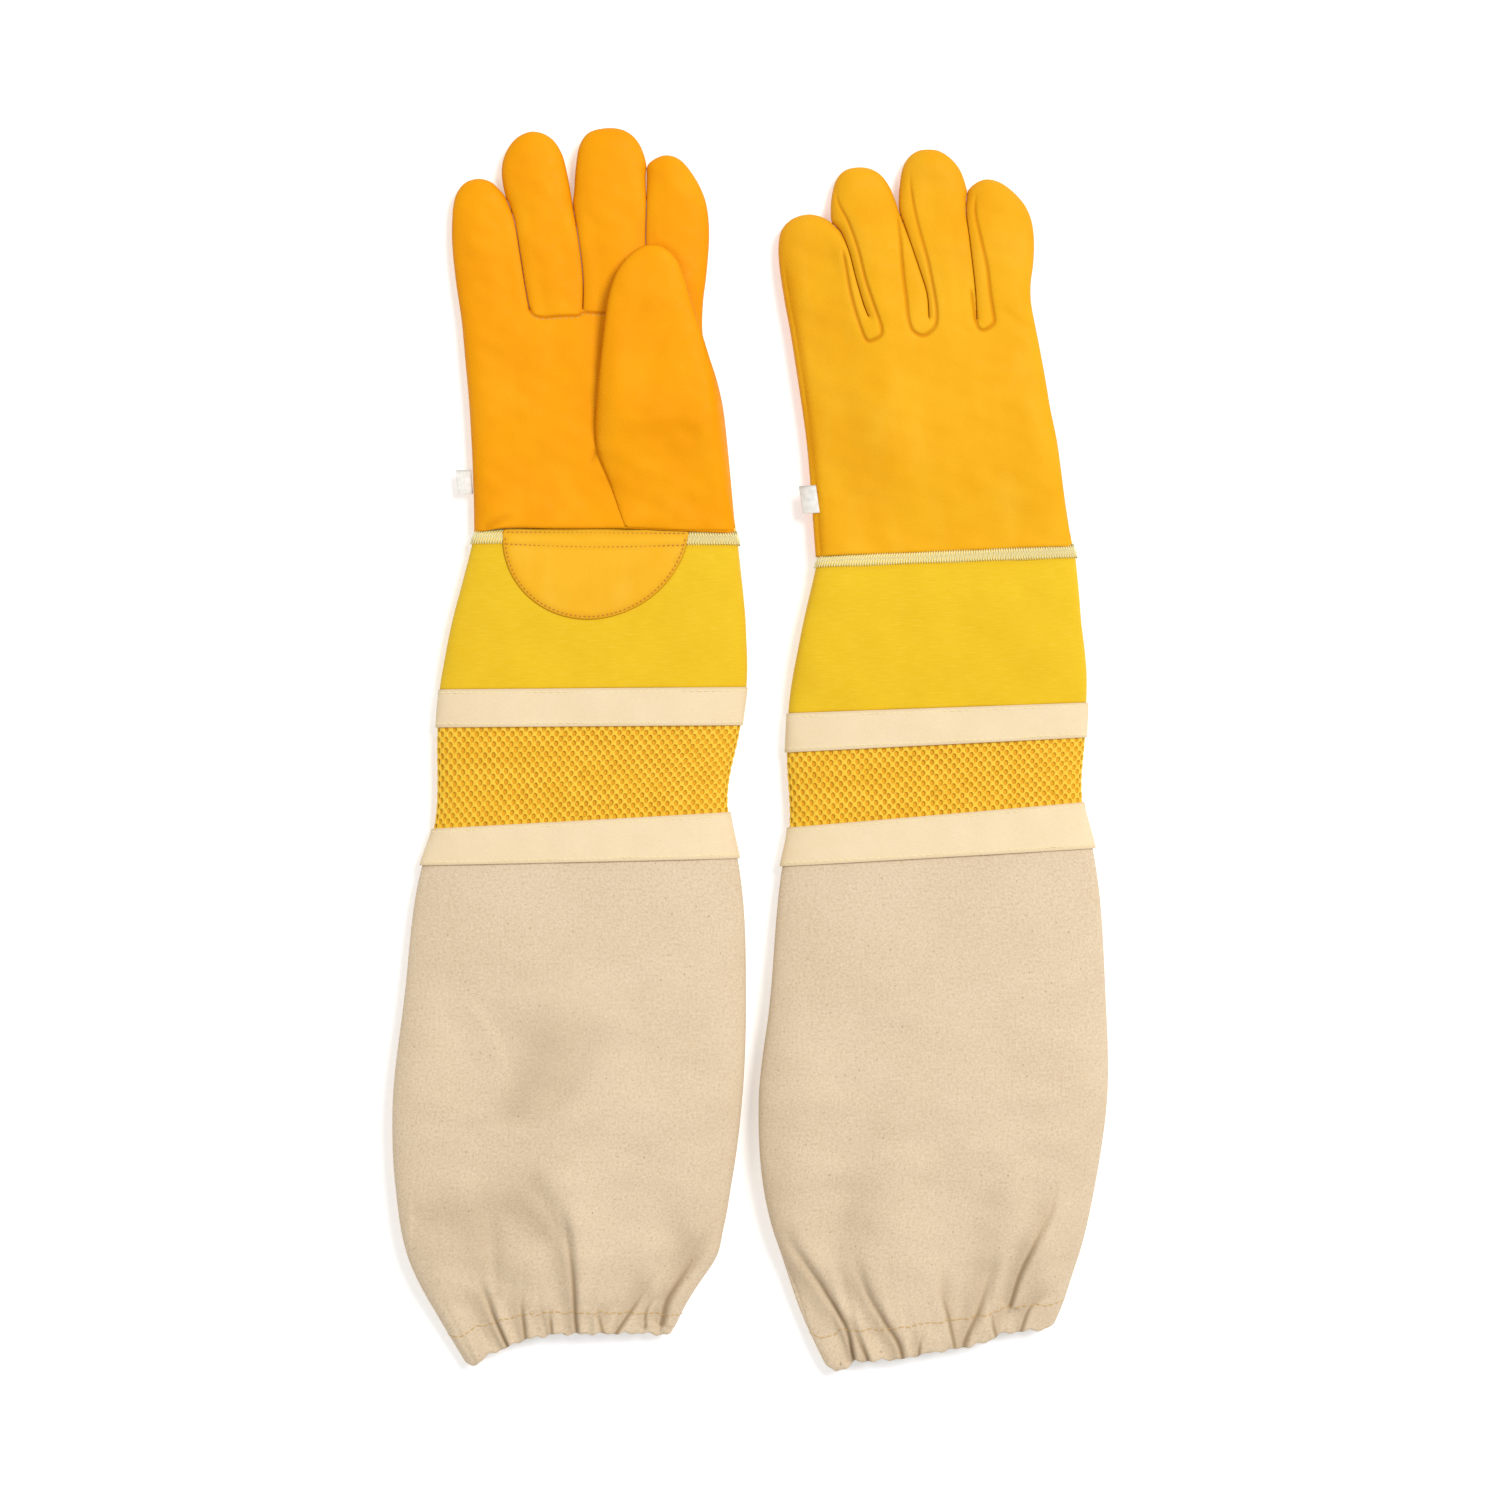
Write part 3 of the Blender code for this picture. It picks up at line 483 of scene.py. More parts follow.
def make_piece(name, points, faces, places, material, shades=None, normals=None):
    """A smooth mesh from millimetre points. places are texture places, by point or by face corner."""
    used = np.unique(faces)
    renumber = np.full(len(points), -1)
    renumber[used] = np.arange(len(used))
    mesh = bpy.data.meshes.new(name)
    mesh.from_pydata((points[used] * MM).tolist(), [], renumber[faces].tolist())
    mesh.shade_smooth()
    layer = mesh.uv_layers.new(name=TEXTURE_MAP)
    corner_places = places if places.ndim == 3 else places[faces]
    layer.data.foreach_set("uv", corner_places.astype(np.float32).ravel())
    if shades is not None:
        # The crease attribute holds painted shade: how far each point is darkened in its creases, grooves
        # and folds and along its edges
        attribute = mesh.attributes.new("crease", "FLOAT", "POINT")
        attribute.data.foreach_set("value", shades[used].astype(np.float32))
    if normals is not None:
        mesh.normals_split_custom_set_from_vertices(normals[used].tolist())
    return add_object(name, mesh, material)


def dress(piece, body=None, replaced=()):
    """The body and the replaced CAD nodes of a piece."""
    if replaced:
        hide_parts(*replaced)
    if body:
        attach(piece, body)
    return piece


def both_places(net, up, across=400.0):
    """Texture places of a doubled net: the upper layer's, and the lower layer's beside them."""
    return np.concatenate((net.points + (0.0, up), net.points + (across, up)))


def padded(net, upper, lower, joined, floor, turned):
    """The points and the two layers' faces of a net sewn double, which share their joined points."""
    count = len(net.points)
    lower_index = np.arange(count, 2 * count)
    lower_index[joined] = np.arange(count)[joined]
    points = np.concatenate((upper, lower))
    points[:, 2] = np.maximum(points[:, 2], floor)
    layers = net.faces, lower_index[net.faces][:, ::-1]
    if turned:
        layers = [faces[:, ::-1] for faces in layers]
    return points, *layers


# ---------------------------------------------------------------- materials

LIGHT_GAIN = 1.12


def colour(red, green, blue):
    """A screen colour as the surface colour that gives it under this scene's light."""
    linear = []
    for value in (red, green, blue):
        share = value / 255.0
        level = share / 12.92 if share <= 0.04045 else ((share + 0.055) / 1.055) ** 2.4
        linear.append(min(level / LIGHT_GAIN, 0.96))
    return (*linear, 1.0)


class Finish:
    """A node material with a few short ways to add textures. Texture places are in millimetres."""

    def __init__(self, name, roughness, specular, sheen=0.0):
        self.material = bpy.data.materials.new(name)
        self.material.use_nodes = True
        self.nodes = self.material.node_tree.nodes
        self.links = self.material.node_tree.links
        self.shader = self.nodes["Principled BSDF"]
        self.shader.inputs["Roughness"].default_value = roughness
        self.shader.inputs["Specular IOR Level"].default_value = specular
        self.shader.inputs["Sheen Weight"].default_value = sheen
        self.shader.inputs["Sheen Roughness"].default_value = 0.5
        self.place = self.node("ShaderNodeUVMap", uv_map=TEXTURE_MAP).outputs["UV"]
        self.base = None
        self.bump_output = None

    def node(self, kind, inputs=None, **settings):
        made = self.nodes.new(kind)
        for key, value in settings.items():
            setattr(made, key, value)
        for key, value in (inputs or {}).items():
            if isinstance(value, bpy.types.NodeSocket):
                self.links.new(value, made.inputs[key])
            else:
                made.inputs[key].default_value = value
        return made

    def stretched(self, x, y):
        return self.node(
            "ShaderNodeMapping", {"Vector": self.place, "Scale": (x, y, 1.0)}
        ).outputs["Vector"]

    def noise(self, size, detail=2.0, rough=0.5, stretch=(1.0, 1.0)):
        """Noise whose blotches are about size across, stretched by shares in x and y."""
        vector = self.stretched(1.0 / (size * stretch[0]), 1.0 / (size * stretch[1]))
        inputs = {"Vector": vector, "Scale": 1.0, "Detail": detail, "Roughness": rough}
        return self.node("ShaderNodeTexNoise", inputs).outputs["Fac"]

    def cells(self, size, stretch=(1.0, 1.0)):
        """The distance from scattered points about size apart."""
        vector = self.stretched(1.0 / (size * stretch[0]), 1.0 / (size * stretch[1]))
        return self.node("ShaderNodeTexVoronoi", {"Vector": vector, "Scale": 1.0}).outputs["Distance"]

    def math(self, operation, first, second=0.0):
        return self.node("ShaderNodeMath", {0: first, 1: second}, operation=operation).outputs[0]

    def spread(self, value, low, high, to_low=0.0, to_high=1.0):
        return self.node(
            "ShaderNodeMapRange",
            {"Value": value, "From Min": low, "From Max": high, "To Min": to_low, "To Max": to_high},
        ).outputs["Result"]

    def mix(self, share, first, second):
        made = self.nodes.new("ShaderNodeMix")
        made.data_type = "RGBA"
        for socket, value in ((made.inputs[0], share), (made.inputs[6], first), (made.inputs[7], second)):
            if isinstance(value, bpy.types.NodeSocket):
                self.links.new(value, socket)
            else:
                socket.default_value = value
        return made.outputs[2]

    def tint(self, tint, pattern, low, high, at_low=0.0, at_high=1.0):
        """Blend a colour over the base, by shares at_low to at_high where the pattern is low to high."""
        self.base = self.mix(self.spread(pattern, low, high, at_low, at_high), self.base, tint)

    # Painted shade: the base colour is mixed towards a darker tint by the crease attribute
    def paint_crease_shade(self, tint):
        crease = self.node("ShaderNodeAttribute", attribute_name="crease").outputs["Fac"]
        self.base = self.mix(crease, self.base, tint)

    def weave(self, pitch_x, pitch_y):
        """The relief of a plain weave: raised where warp and weft cross."""
        parts = self.node("ShaderNodeSeparateXYZ", {"Vector": self.place})
        across = self.math("SINE", self.math("MULTIPLY", parts.outputs[0], math.tau / pitch_x))
        along = self.math("SINE", self.math("MULTIPLY", parts.outputs[1], math.tau / pitch_y))
        return self.spread(self.math("MULTIPLY", across, along), -1.0, 1.0)

    def bump(self, height, depth_mm, strength=1.0):
        inputs = {"Height": height, "Distance": depth_mm * MM, "Strength": strength}
        if self.bump_output is not None:
            inputs["Normal"] = self.bump_output
        self.bump_output = self.node("ShaderNodeBump", inputs).outputs["Normal"]

    def finish(self, roughness=None):
        self.links.new(self.base, self.shader.inputs["Base Color"])
        if roughness is not None:
            self.links.new(roughness, self.shader.inputs["Roughness"])
        if self.bump_output is not None:
            self.links.new(self.bump_output, self.shader.inputs["Normal"])
        return self.material


def leather(name, main, dark, light, crease):
    f = Finish(name, 0.6, 0.09)
    f.base = main
    f.tint(dark, f.noise(30.0, 3.0, 0.55), 0.38, 0.7, 0.0, 0.8)
    f.tint(light, f.noise(20.0, 2.0, 0.5, (0.8, 1.8)), 0.5, 0.74, 0.0, 0.7)
    f.tint(dark, f.noise(1.2, 4.0, 0.7), 0.4, 0.75, 0.0, 0.3)
    pores = f.cells(0.8)
    f.tint(crease, pores, 0.0, 0.22, 0.1, 0.0)
    # Painted shade in the creases, grooves and edges, in the crease colour; the same colour also darkens
    # the pores
    f.paint_crease_shade(crease)
    f.bump(f.noise(7.0, 3.0, 0.6), 0.3, 0.35)
    f.bump(f.noise(1.1, 4.0, 0.65), 0.08, 0.5)
    f.bump(pores, 0.07, 0.7)
    return f.finish(f.spread(f.noise(3.0, 3.0), 0.3, 0.7, 0.5, 0.66))


def cotton(name):
    """Plain woven cotton, with thick and thin yarns across it."""
    f = Finish(name, 0.86, 0.2, sheen=0.12)
    f.base, dark = colour(241, 197, 32), colour(232, 185, 22)
    f.tint(dark, f.noise(22.0, 3.0, 0.6), 0.35, 0.7, 0.0, 0.55)
    f.tint(colour(249, 208, 58), f.noise(1.0, 3.0, 0.6, (7.0, 0.55)), 0.48, 0.75, 0.0, 0.6)
    f.tint(dark, f.noise(0.9, 3.0, 0.6, (5.0, 0.5)), 0.25, 0.48, 0.45, 0.0)
    # Painted shade in the creases and at the ends of the cuff
    f.paint_crease_shade(colour(196, 146, 14))
    f.bump(f.noise(9.0, 2.0, 0.5), 0.3, 0.45)
    f.bump(f.noise(1.0, 3.0, 0.6, (6.0, 0.6)), 0.08, 0.6)
    f.bump(f.weave(0.62, 0.62), 0.06, 0.7)
    return f.finish(f.spread(f.noise(2.0), 0.3, 0.7, 0.8, 0.92))


def tape(name):
    """Cream woven tape with a few brown specks."""
    f = Finish(name, 0.88, 0.2, sheen=0.1)
    f.base, dark = colour(246, 223, 184), colour(239, 213, 172)
    f.tint(dark, f.noise(14.0, 3.0, 0.6), 0.35, 0.7, 0.0, 0.6)
    f.tint(colour(250, 231, 196), f.noise(0.9, 4.0, 0.7), 0.5, 0.75, 0.0, 0.8)
    f.tint(dark, f.noise(0.7, 3.0, 0.7, (4.0, 0.8)), 0.3, 0.5, 0.5, 0.0)
    f.tint(colour(176, 138, 96), f.cells(5.5), 0.0, 0.05, 0.8, 0.0)
    # Painted shade in the creases and at the tape's edges
    f.paint_crease_shade(colour(196, 158, 112))
    f.bump(f.noise(6.0, 2.0), 0.22, 0.5)
    f.bump(f.weave(0.7, 0.7), 0.07, 0.8)
    return f.finish(f.spread(f.noise(2.0), 0.3, 0.7, 0.82, 0.94))


def canvas(name):
    """Undyed canvas: mottled yarns with brown seeds and pale nubs."""
    f = Finish(name, 0.92, 0.15, sheen=0.12)
    f.base, dark, light = colour(230, 207, 175), colour(217, 192, 158), colour(242, 222, 192)
    mottle = f.noise(1.15, 5.0, 0.85)
    f.tint(dark, f.noise(38.0, 3.0, 0.6), 0.4, 0.7, 0.0, 0.55)
    f.tint(light, f.noise(1.0, 3.0, 0.65, (0.9, 7.0)), 0.45, 0.75, 0.0, 0.35)
    f.tint(dark, f.noise(1.0, 3.0, 0.65, (6.0, 0.9)), 0.28, 0.5, 0.35, 0.0)
    f.tint(light, mottle, 0.5, 0.68, 0.0, 0.95)
    f.tint(colour(202, 174, 138), mottle, 0.48, 0.32, 0.0, 0.95)
    f.tint(colour(150, 116, 80), f.cells(5.2, (1.0, 1.3)), 0.0, 0.085, 0.85, 0.0)
    f.tint(colour(250, 236, 212), f.cells(3.7), 0.0, 0.1, 0.7, 0.0)
    # Painted shade in the folds and creases
    f.paint_crease_shade(colour(168, 142, 108))
    f.bump(f.noise(14.0, 2.0, 0.5), 0.4, 0.4)
    f.bump(mottle, 0.1, 0.7)
    f.bump(f.weave(0.8, 0.8), 0.1, 0.9)
    return f.finish(f.spread(mottle, 0.3, 0.7, 0.86, 0.98))


def knit(name, main, dark, light, roughness):
    """Fibres of a knitted cloth, finer than its own relief."""
    f = Finish(name, roughness, 0.3, sheen=0.08)
    f.base = main
    fibres = f.noise(0.35, 3.0, 0.7, (1.0, 3.0))
    f.tint(dark, f.noise(9.0, 2.0), 0.35, 0.7)
    f.tint(light, fibres, 0.5, 0.75, 0.0, 0.7)
    # Painted shade in the creases, in the dark colour
    f.paint_crease_shade(dark)
    f.bump(fibres, 0.08, 0.8)
    return f.finish(f.spread(fibres, 0.3, 0.7, roughness - 0.06, roughness + 0.08))


def thread(name, main, dark):
    """Twisted sewing thread: fine slanting ridges."""
    f = Finish(name, 0.62, 0.35, sheen=0.1)
    parts = f.node("ShaderNodeSeparateXYZ", {"Vector": f.place})
    slant = f.math("ADD", f.math("MULTIPLY", parts.outputs[0], math.tau / 0.5), parts.outputs[1])
    twist = f.spread(f.math("SINE", slant), -1.0, 1.0)
    f.base = f.mix(twist, dark, main)
    f.tint(dark, f.noise(6.0), 0.4, 0.7, 0.0, 0.4)
    f.bump(twist, 0.06, 0.8)
    return f.finish()


def label_cloth(name):
    f = Finish(name, 0.7, 0.3, sheen=0.05)
    f.base = colour(248, 246, 240)
    f.tint(colour(232, 228, 218), f.noise(2.5), 0.35, 0.7)
    f.bump(f.weave(0.3, 0.3), 0.03, 0.6)
    return f.finish()


def rubber(name):
    f = Finish(name, 0.7, 0.3)
    f.base = f.mix(f.noise(1.5, 3.0), colour(228, 224, 212), colour(206, 200, 186))
    f.bump(f.weave(1.2, 0.5), 0.1, 0.8)
    return f.finish()


PALM = leather(
    "palm_leather", colour(251, 166, 4), colour(245, 155, 1), colour(253, 173, 18), colour(206, 118, 2)
)
BACK = leather(
    "back_leather", colour(248, 182, 28), colour(243, 170, 16), colour(250, 188, 42), colour(208, 130, 4)
)
PATCH = leather(
    "patch_leather", colour(247, 185, 38), colour(244, 177, 28), colour(249, 192, 56), colour(204, 134, 18)
)
COTTON = cotton("yellow_cotton")
TAPE = tape("cream_tape")
CANVAS = canvas("natural_canvas")
KNIT = knit("yellow_knit", colour(251, 204, 52), colour(245, 192, 32), colour(255, 220, 92), 0.55)
KNIT_BASE = knit("yellow_knit_base", colour(236, 176, 30), colour(222, 158, 18), colour(246, 192, 48), 0.8)
BINDING = knit("overlock_backing", colour(252, 218, 100), colour(246, 206, 82), colour(254, 230, 136), 0.8)
CREAM_THREAD = thread("cream_thread", colour(255, 250, 200), colour(255, 240, 172))
SEAM_THREAD = thread("seam_thread", colour(238, 200, 118), colour(222, 176, 84))
TAN_THREAD = thread("tan_thread", colour(222, 150, 40), colour(178, 110, 22))
GOLD_THREAD = thread("gold_thread", colour(226, 190, 128), colour(208, 168, 106))
LABEL = label_cloth("label_cloth")
RUBBER = rubber("elastic")

# ---------------------------------------------------------------- the leather hands


def hand_outline(side):
    """The closed outline of a hand, up the little finger's side and back down the index finger's."""
    creases, outer = CREASES[side], OUTER[side]
    paths = []
    for index in range(4):
        points = list(outer[index])
        if index > 0:
            left = creases[index - 1]
            points = [(x + SLIT, y) for x, y in left] + points
        if index < 3:
            right = creases[index]
            points = points + [(x - SLIT, y) for x, y in reversed(right)]
        paths.append(smooth_path(points, 1.0))
    wrist = smooth_path(WRIST_EDGE[side], 1.2)
    return np.concatenate([*paths, wrist[1:-1]]), np.concatenate(paths), wrist


class Layer:
    """The front or the back of a hand: each point's depth, and the shade painted on it in its creases,
    grooves and edges.
    """

    def __init__(self, points, depth, shade):
        self.points, self.depth, self.shade = points, depth, shade

    def darken(self, shade):
        self.shade = np.maximum(self.shade, shade)

    def groove(self, path, width, depth, tint, fade_in=0.0, fade_out=0.0, share=1.0):
        """A soft groove along a path, fading at its start and end, with painted shade along it."""
        away, along = distance_to_path(self.points, path)
        strength = np.ones(len(self.points))
        if fade_in:
            strength *= smooth(0.0, fade_in, along)
        if fade_out:
            strength *= smooth(0.0, fade_out, 1.0 - along)
        self.depth = self.depth + share * depth * strength * np.exp(-((away / width) ** 2))
        self.darken(tint * strength * np.exp(-((away / (0.9 * width)) ** 2)))


def finger_of(x, y, side):
    """Which finger each place belongs to, counted from the little finger."""
    count = np.zeros(len(x), int)
    for crease in CREASES[side]:
        ys, xs = [p[1] for p in crease], [p[0] for p in crease]
        count += x > np.interp(y, ys, xs)
    return count


def finger_hump(points, side):
    """A low crown along each finger, which fades into the palm."""
    x, y = points[:, 0], points[:, 1]
    crown = np.zeros(len(points))
    for centre, lean in ((-40.0, -0.03), (-14.5, -0.06), (14.5, 0.02), (41.0, 0.03)):
        crown += np.exp(-(((x - centre - lean * (y - 110.0)) / 7.0) ** 2))
    return crown * smooth(84.0, 104.0, y)


def press_together(points, side, swell):
    """Neighbouring fingers press together, and their tops meet in a shallow crease."""
    together = np.zeros(len(points))
    for crease in CREASES[side]:
        away, along = distance_to_path(points, smooth_path(crease, 1.0))
        pressed = smooth(1.0, 0.62, along) * smooth(9.0, 5.0, away)
        shallow = 0.66 + 0.34 * rounding(away, 4.5, 2.0)
        swell = np.maximum(swell, swell + (shallow - swell) * pressed)
        together = np.maximum(together, pressed)
    return together, swell


def hand_layers(glove, net, seam, strips, open_path, wrist):
    """The palm and the back of a hand, sewn together along its outline."""
    side = glove.side
    points = net.points
    x, y = points[:, 0], points[:, 1]
    edge, _ = distance_to_path(points, open_path)
    together, swell = press_together(points, side, rounding(edge, 10.5 + 1.5 * smooth(100.0, 60.0, y)))
    at_fingers = smooth(78.0, 102.0, y)
    palm_level = PALM_DEPTH - (PALM_DEPTH - FINGER_DEPTH) * at_fingers
    hump = finger_hump(points, side)
    inner = smooth(1.5, 9.0, edge)
    waves = 0.5 * undulation(x, y, 34.0, 11) + 0.22 * undulation(x, y, 12.0, 12)
    # Both layers start with painted shade along the hand's outline, where the palm and the back meet
    palm = Layer(
        points,
        SEAM_DEPTH + (palm_level - SEAM_DEPTH + 0.7 * hump) * swell + inner * waves * 0.8,
        0.5 * np.exp(-edge / 0.6),
    )
    waves = 0.5 * undulation(x, y, 40.0, 21) + 0.2 * undulation(x, y, 13.0, 22)
    back = Layer(
        points,
        SEAM_DEPTH - (SEAM_DEPTH - FINGER_BACK * at_fingers + 0.5 * hump) * swell - inner * 0.7 * waves,
        0.45 * np.exp(-edge / 0.6),
    )

    # Each groove also gets painted shade along it
    palm.groove(seam, 0.75, -0.75, 0.75, share=swell)
    for line, width, depth in PALM_CREASES:
        palm.groove(smooth_path(line, 1.0), width, -depth, 0.35, 0.2, 0.5)
    for strip in strips.values():
        back.groove(strip, 0.8, 0.95, 0.7, 0.05, 0.12)
    back.groove(smooth_path(SIDE_SEAM, 1.0), 0.8, 0.7, 0.6, 0.15)
    back.groove(smooth_path(KNUCKLE_DIP, 1.0), 2.6, 0.7, 0.0, 0.3, 0.3)

    # The leather's lower edge rounds down on to the cuff
    to_wrist, _ = distance_to_path(points, wrist)
    over_patch = np.exp(-(((x - PATCH_CENTRE) / 42.0) ** 6))
    lip = 0.9 * swell * (1.0 - rounding(to_wrist, 1.1, 2.0))
    palm.depth += 1.5 * over_patch * smooth(14.0, 2.0, to_wrist) - lip
    back.depth += lip
    # Painted shade along the leather's lower edge, where it overhangs the cuff
    palm.darken(0.5 * np.exp(-to_wrist / 0.5))
    back.darken(0.4 * np.exp(-to_wrist / 0.5))
    # Painted shade darkens the leather a little along its edges, and the palm-down glove's fingers are
    # darker towards their tips
    painted_edge_shade = 0.18 * np.exp(-edge / 1.8)
    palm.darken(painted_edge_shade)
    back.darken(painted_edge_shade + 0.16 * (not glove.palm_up) * smooth(104.0, 150.0, y))

    joined = net.on_rim & (edge < 0.02)
    meeting = SEAM_DEPTH + (CREASE_LEVEL[side] - SEAM_DEPTH) * together[joined]
    palm.depth[joined] = meeting
    back.depth[joined] = meeting
    return palm, back, joined


def build_hand(glove):
    """The leather of one hand: palm, front panel, back, fourchettes and fingertips."""
    side = glove.side
    outline, open_path, wrist = hand_outline(side)
    strips = {
        name: smooth_path([(x + dx, y) for x, y in points], 0.9)
        for (name, points), dx in zip(STRIPS.items(), STRIP_SHIFT[side])
    }
    seam = smooth_path(FRONT_SEAM[side], 0.9)
    net = Net(outline, [seam, *strips.values()], NET_SPACING, RIM_ROWS, (0.35, 0.75, 1.3))
    palm, back, joined = hand_layers(glove, net, seam, strips, open_path, wrist)
    x, y = net.points[:, 0], net.points[:, 1]
    everything, palm_faces, back_faces = padded(
        net, glove.hand_points(x, y, palm.depth), glove.hand_points(x, y, back.depth),
        joined, 0.03, not glove.palm_up,
    )
    places = both_places(net, 0.0)
    shades = np.concatenate((palm.shade, back.shade))
    normals = vertex_normals(everything, np.concatenate((palm_faces, back_faces)))

    centre_x, centre_y = net.centres[:, 0], net.centres[:, 1]
    finger = finger_of(centre_x, centre_y, side)
    tip = centre_y > FINGER_CUT_Y
    beyond_seam = centre_y > np.interp(centre_x, seam[:, 0], seam[:, 1])
    centre_front = ~tip & beyond_seam & ((finger == 1) | (finger == 2)) & (centre_y > 90.0)

    fronts, backs = (palm_faces, PALM, "palm_leather"), (back_faces, BACK, "back_leather")

    def piece(name, layer, chosen, node, body=f"{side}_hand"):
        faces, material, slot = layer
        made = make_piece(f"{side}_{name}", everything, faces[chosen], places, material, shades, normals)
        return dress(made, body, [f"{side}_{node}"])

    piece("palm_leather", fronts, ~tip & ~centre_front, "palm_panel")
    piece("centre_front_leather", fronts, centre_front, "centre_front_panel")
    in_strip = np.zeros(len(net.centres), bool)
    for name, strip in strips.items():
        chosen = ~tip & inside(net.centres, strip)
        in_strip |= chosen
        piece(f"{name}_strip", backs, chosen, f"{name}_fourchette")
    piece("back_leather", backs, ~tip & ~in_strip, "back_panel")

    for number, name in enumerate(FINGERS):
        chosen = tip & (finger == number)
        hinge = np.array((FINGER_HINGE_Y, FINGER_HINGE_Y + FINGER_BLEND))
        ends = glove.hand_points(np.full(2, centre_x[chosen].mean()), hinge, np.zeros(2)) * MM
        for part, layer in (("front", fronts), ("back", backs)):
            made = piece(f"{name}_finger_{part}", layer, chosen, f"{name}_fingertip_{part}", None)
            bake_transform(made)
    return net, palm.depth


# ---------------------------------------------------------------- the thumbs


def build_thumb(glove, hand_net, palm):
    """The thumb over the palm, and the base that it rises from."""
    side = glove.side
    left_path = smooth_path(THUMB_LEFT_SIDE, 1.0)
    # The palm-down glove's thumb keeps inside the hand's outline
    hidden = 0.0 if glove.palm_up else -3.2
    top_x = THUMB_RIGHT_SIDE[0][0]
    right_path = smooth_path([(x + hidden * smooth(0, 6, x - top_x), y) for x, y in THUMB_RIGHT_SIDE], 1.0)
    wrist = smooth_path((right_path[-1], (30.0, 1.5), THUMB_LEFT_SIDE[0]), 1.3)
    outline = np.concatenate((left_path, right_path[1:], wrist[1:-1]))
    fold = smooth_path(((-1.5, 40.9), (56.0, 81.0)), 1.2)
    fold = fold[inside(fold, outline)]
    net = Net(outline, [fold], NET_SPACING, RIM_ROWS, (0.9,))
    points = net.points
    x, y = points[:, 0], points[:, 1]
    to_left, _ = distance_to_path(points, np.concatenate((wrist, left_path)))
    to_right, _ = distance_to_path(points, right_path)
    edge = np.minimum(to_left, to_right)
    merged = smooth(78.0, 44.0, y)

    hand_points = hand_net.points
    nearest = np.empty(len(points), int)
    for first in range(0, len(points), 800):
        gap = ((points[first : first + 800, None, :] - hand_points[None]) ** 2).sum(2)
        nearest[first : first + 800] = gap.argmin(1)
    under = palm[nearest]

    middle = (THUMB_LOW + THUMB_HIGH) / 2.0 - 0.2
    soft = 0.35 * undulation(x, y, 30.0, 31) + 0.12 * undulation(x, y, 11.0, 32)
    free_top = middle + 4.2 * rounding(edge, 11.0) + soft * smooth(1.0, 8.0, edge)
    free_low = middle - 4.0 * rounding(edge, 6.0)
    lift = np.interp(y, (0.0, 18.0, 34.0, 48.0, 78.0), (0.6, 2.6, 5.6, 8.2, 8.4))
    base_top = under + 0.25 + lift * rounding(to_left, 13.0, 2.2) * rounding(to_right, 5.0, 2.0)
    base_top += 0.8 * soft * smooth(1.0, 8.0, edge)
    base_low = under + 0.2
    top = free_top + (base_top - free_top) * merged
    low = free_low + (base_low - free_low) * merged

    # Painted shade along the thumb's outline, fading where the thumb merges into the palm
    shade = 0.6 * np.exp(-edge / 0.6) * (1.0 - 0.7 * smooth(45.0, 30.0, y))
    low[net.on_rim] = top[net.on_rim] = ((top + low) / 2.0)[net.on_rim]
    upper, lower = glove.hand_points(x, y, top), glove.hand_points(x, y, low)
    if not glove.palm_up:
        for layer in (upper, lower):
            layer[:, 2] += (UNDER_THUMB_LEVEL - hand_rise(x, y)) * smooth(20.0, 60.0, y)
    everything, top_faces, low_faces = padded(net, upper, lower, net.on_rim, 0.05, not glove.palm_up)
    places = both_places(net, 300.0)
    shades = np.concatenate((shade, shade))
    faces = np.concatenate((top_faces, low_faces))
    normals = vertex_normals(everything, faces)

    (ax, ay), (bx, by) = THUMB_HINGE
    along = np.array((bx - ax, by - ay)) / math.hypot(bx - ax, by - ay)
    outward = np.array((-along[1], along[0]))
    beyond = (net.centres - (ax, ay)) @ outward > 0.0
    middle_fold = np.array(((ax + bx) / 2.0, (ay + by) / 2.0))
    reach = 15.0 if glove.palm_up else 26.0
    ends_plan = np.array((middle_fold + outward * 0.5, middle_fold + outward * reach))
    ends = glove.hand_points(ends_plan[:, 0], ends_plan[:, 1], np.zeros(2)) * MM
    ends[1, 2] = ends[0, 2]

    base_faces = faces[np.concatenate((~beyond, ~beyond))]
    for part, chosen in (("base", base_faces), ("front", low_faces[beyond]), ("back", top_faces[beyond])):
        name = f"{side}_thumb_{part}"
        made = make_piece(f"{name}_leather", everything, chosen, places, PALM, shades, normals)
        dress(made, f"{side}_hand" if part == "base" else None, [name])
        if part != "base":
            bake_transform(made)


# ---------------------------------------------------------------- the gauntlets


TAPE_TUCK = 4.0  # how far a tape's edges turn back under it
TAPES = (
    ("upper_tape", "cuff_end", "upper_tape_end", "hand"),
    ("lower_tape", "mesh_end", "lower_tape_end", "gauntlet"),
)
OVERLOCK_LOOPS = 220
MESH_ROW_PITCH = 2.15
# The label's fold and its root in the seam, across the hand, and its two ends along the hand
TAG_PLACES = {"right": (-60.8, -54.4, 18.2, 28.3), "left": (-57.6, -50.4, 19.8, 31.4)}


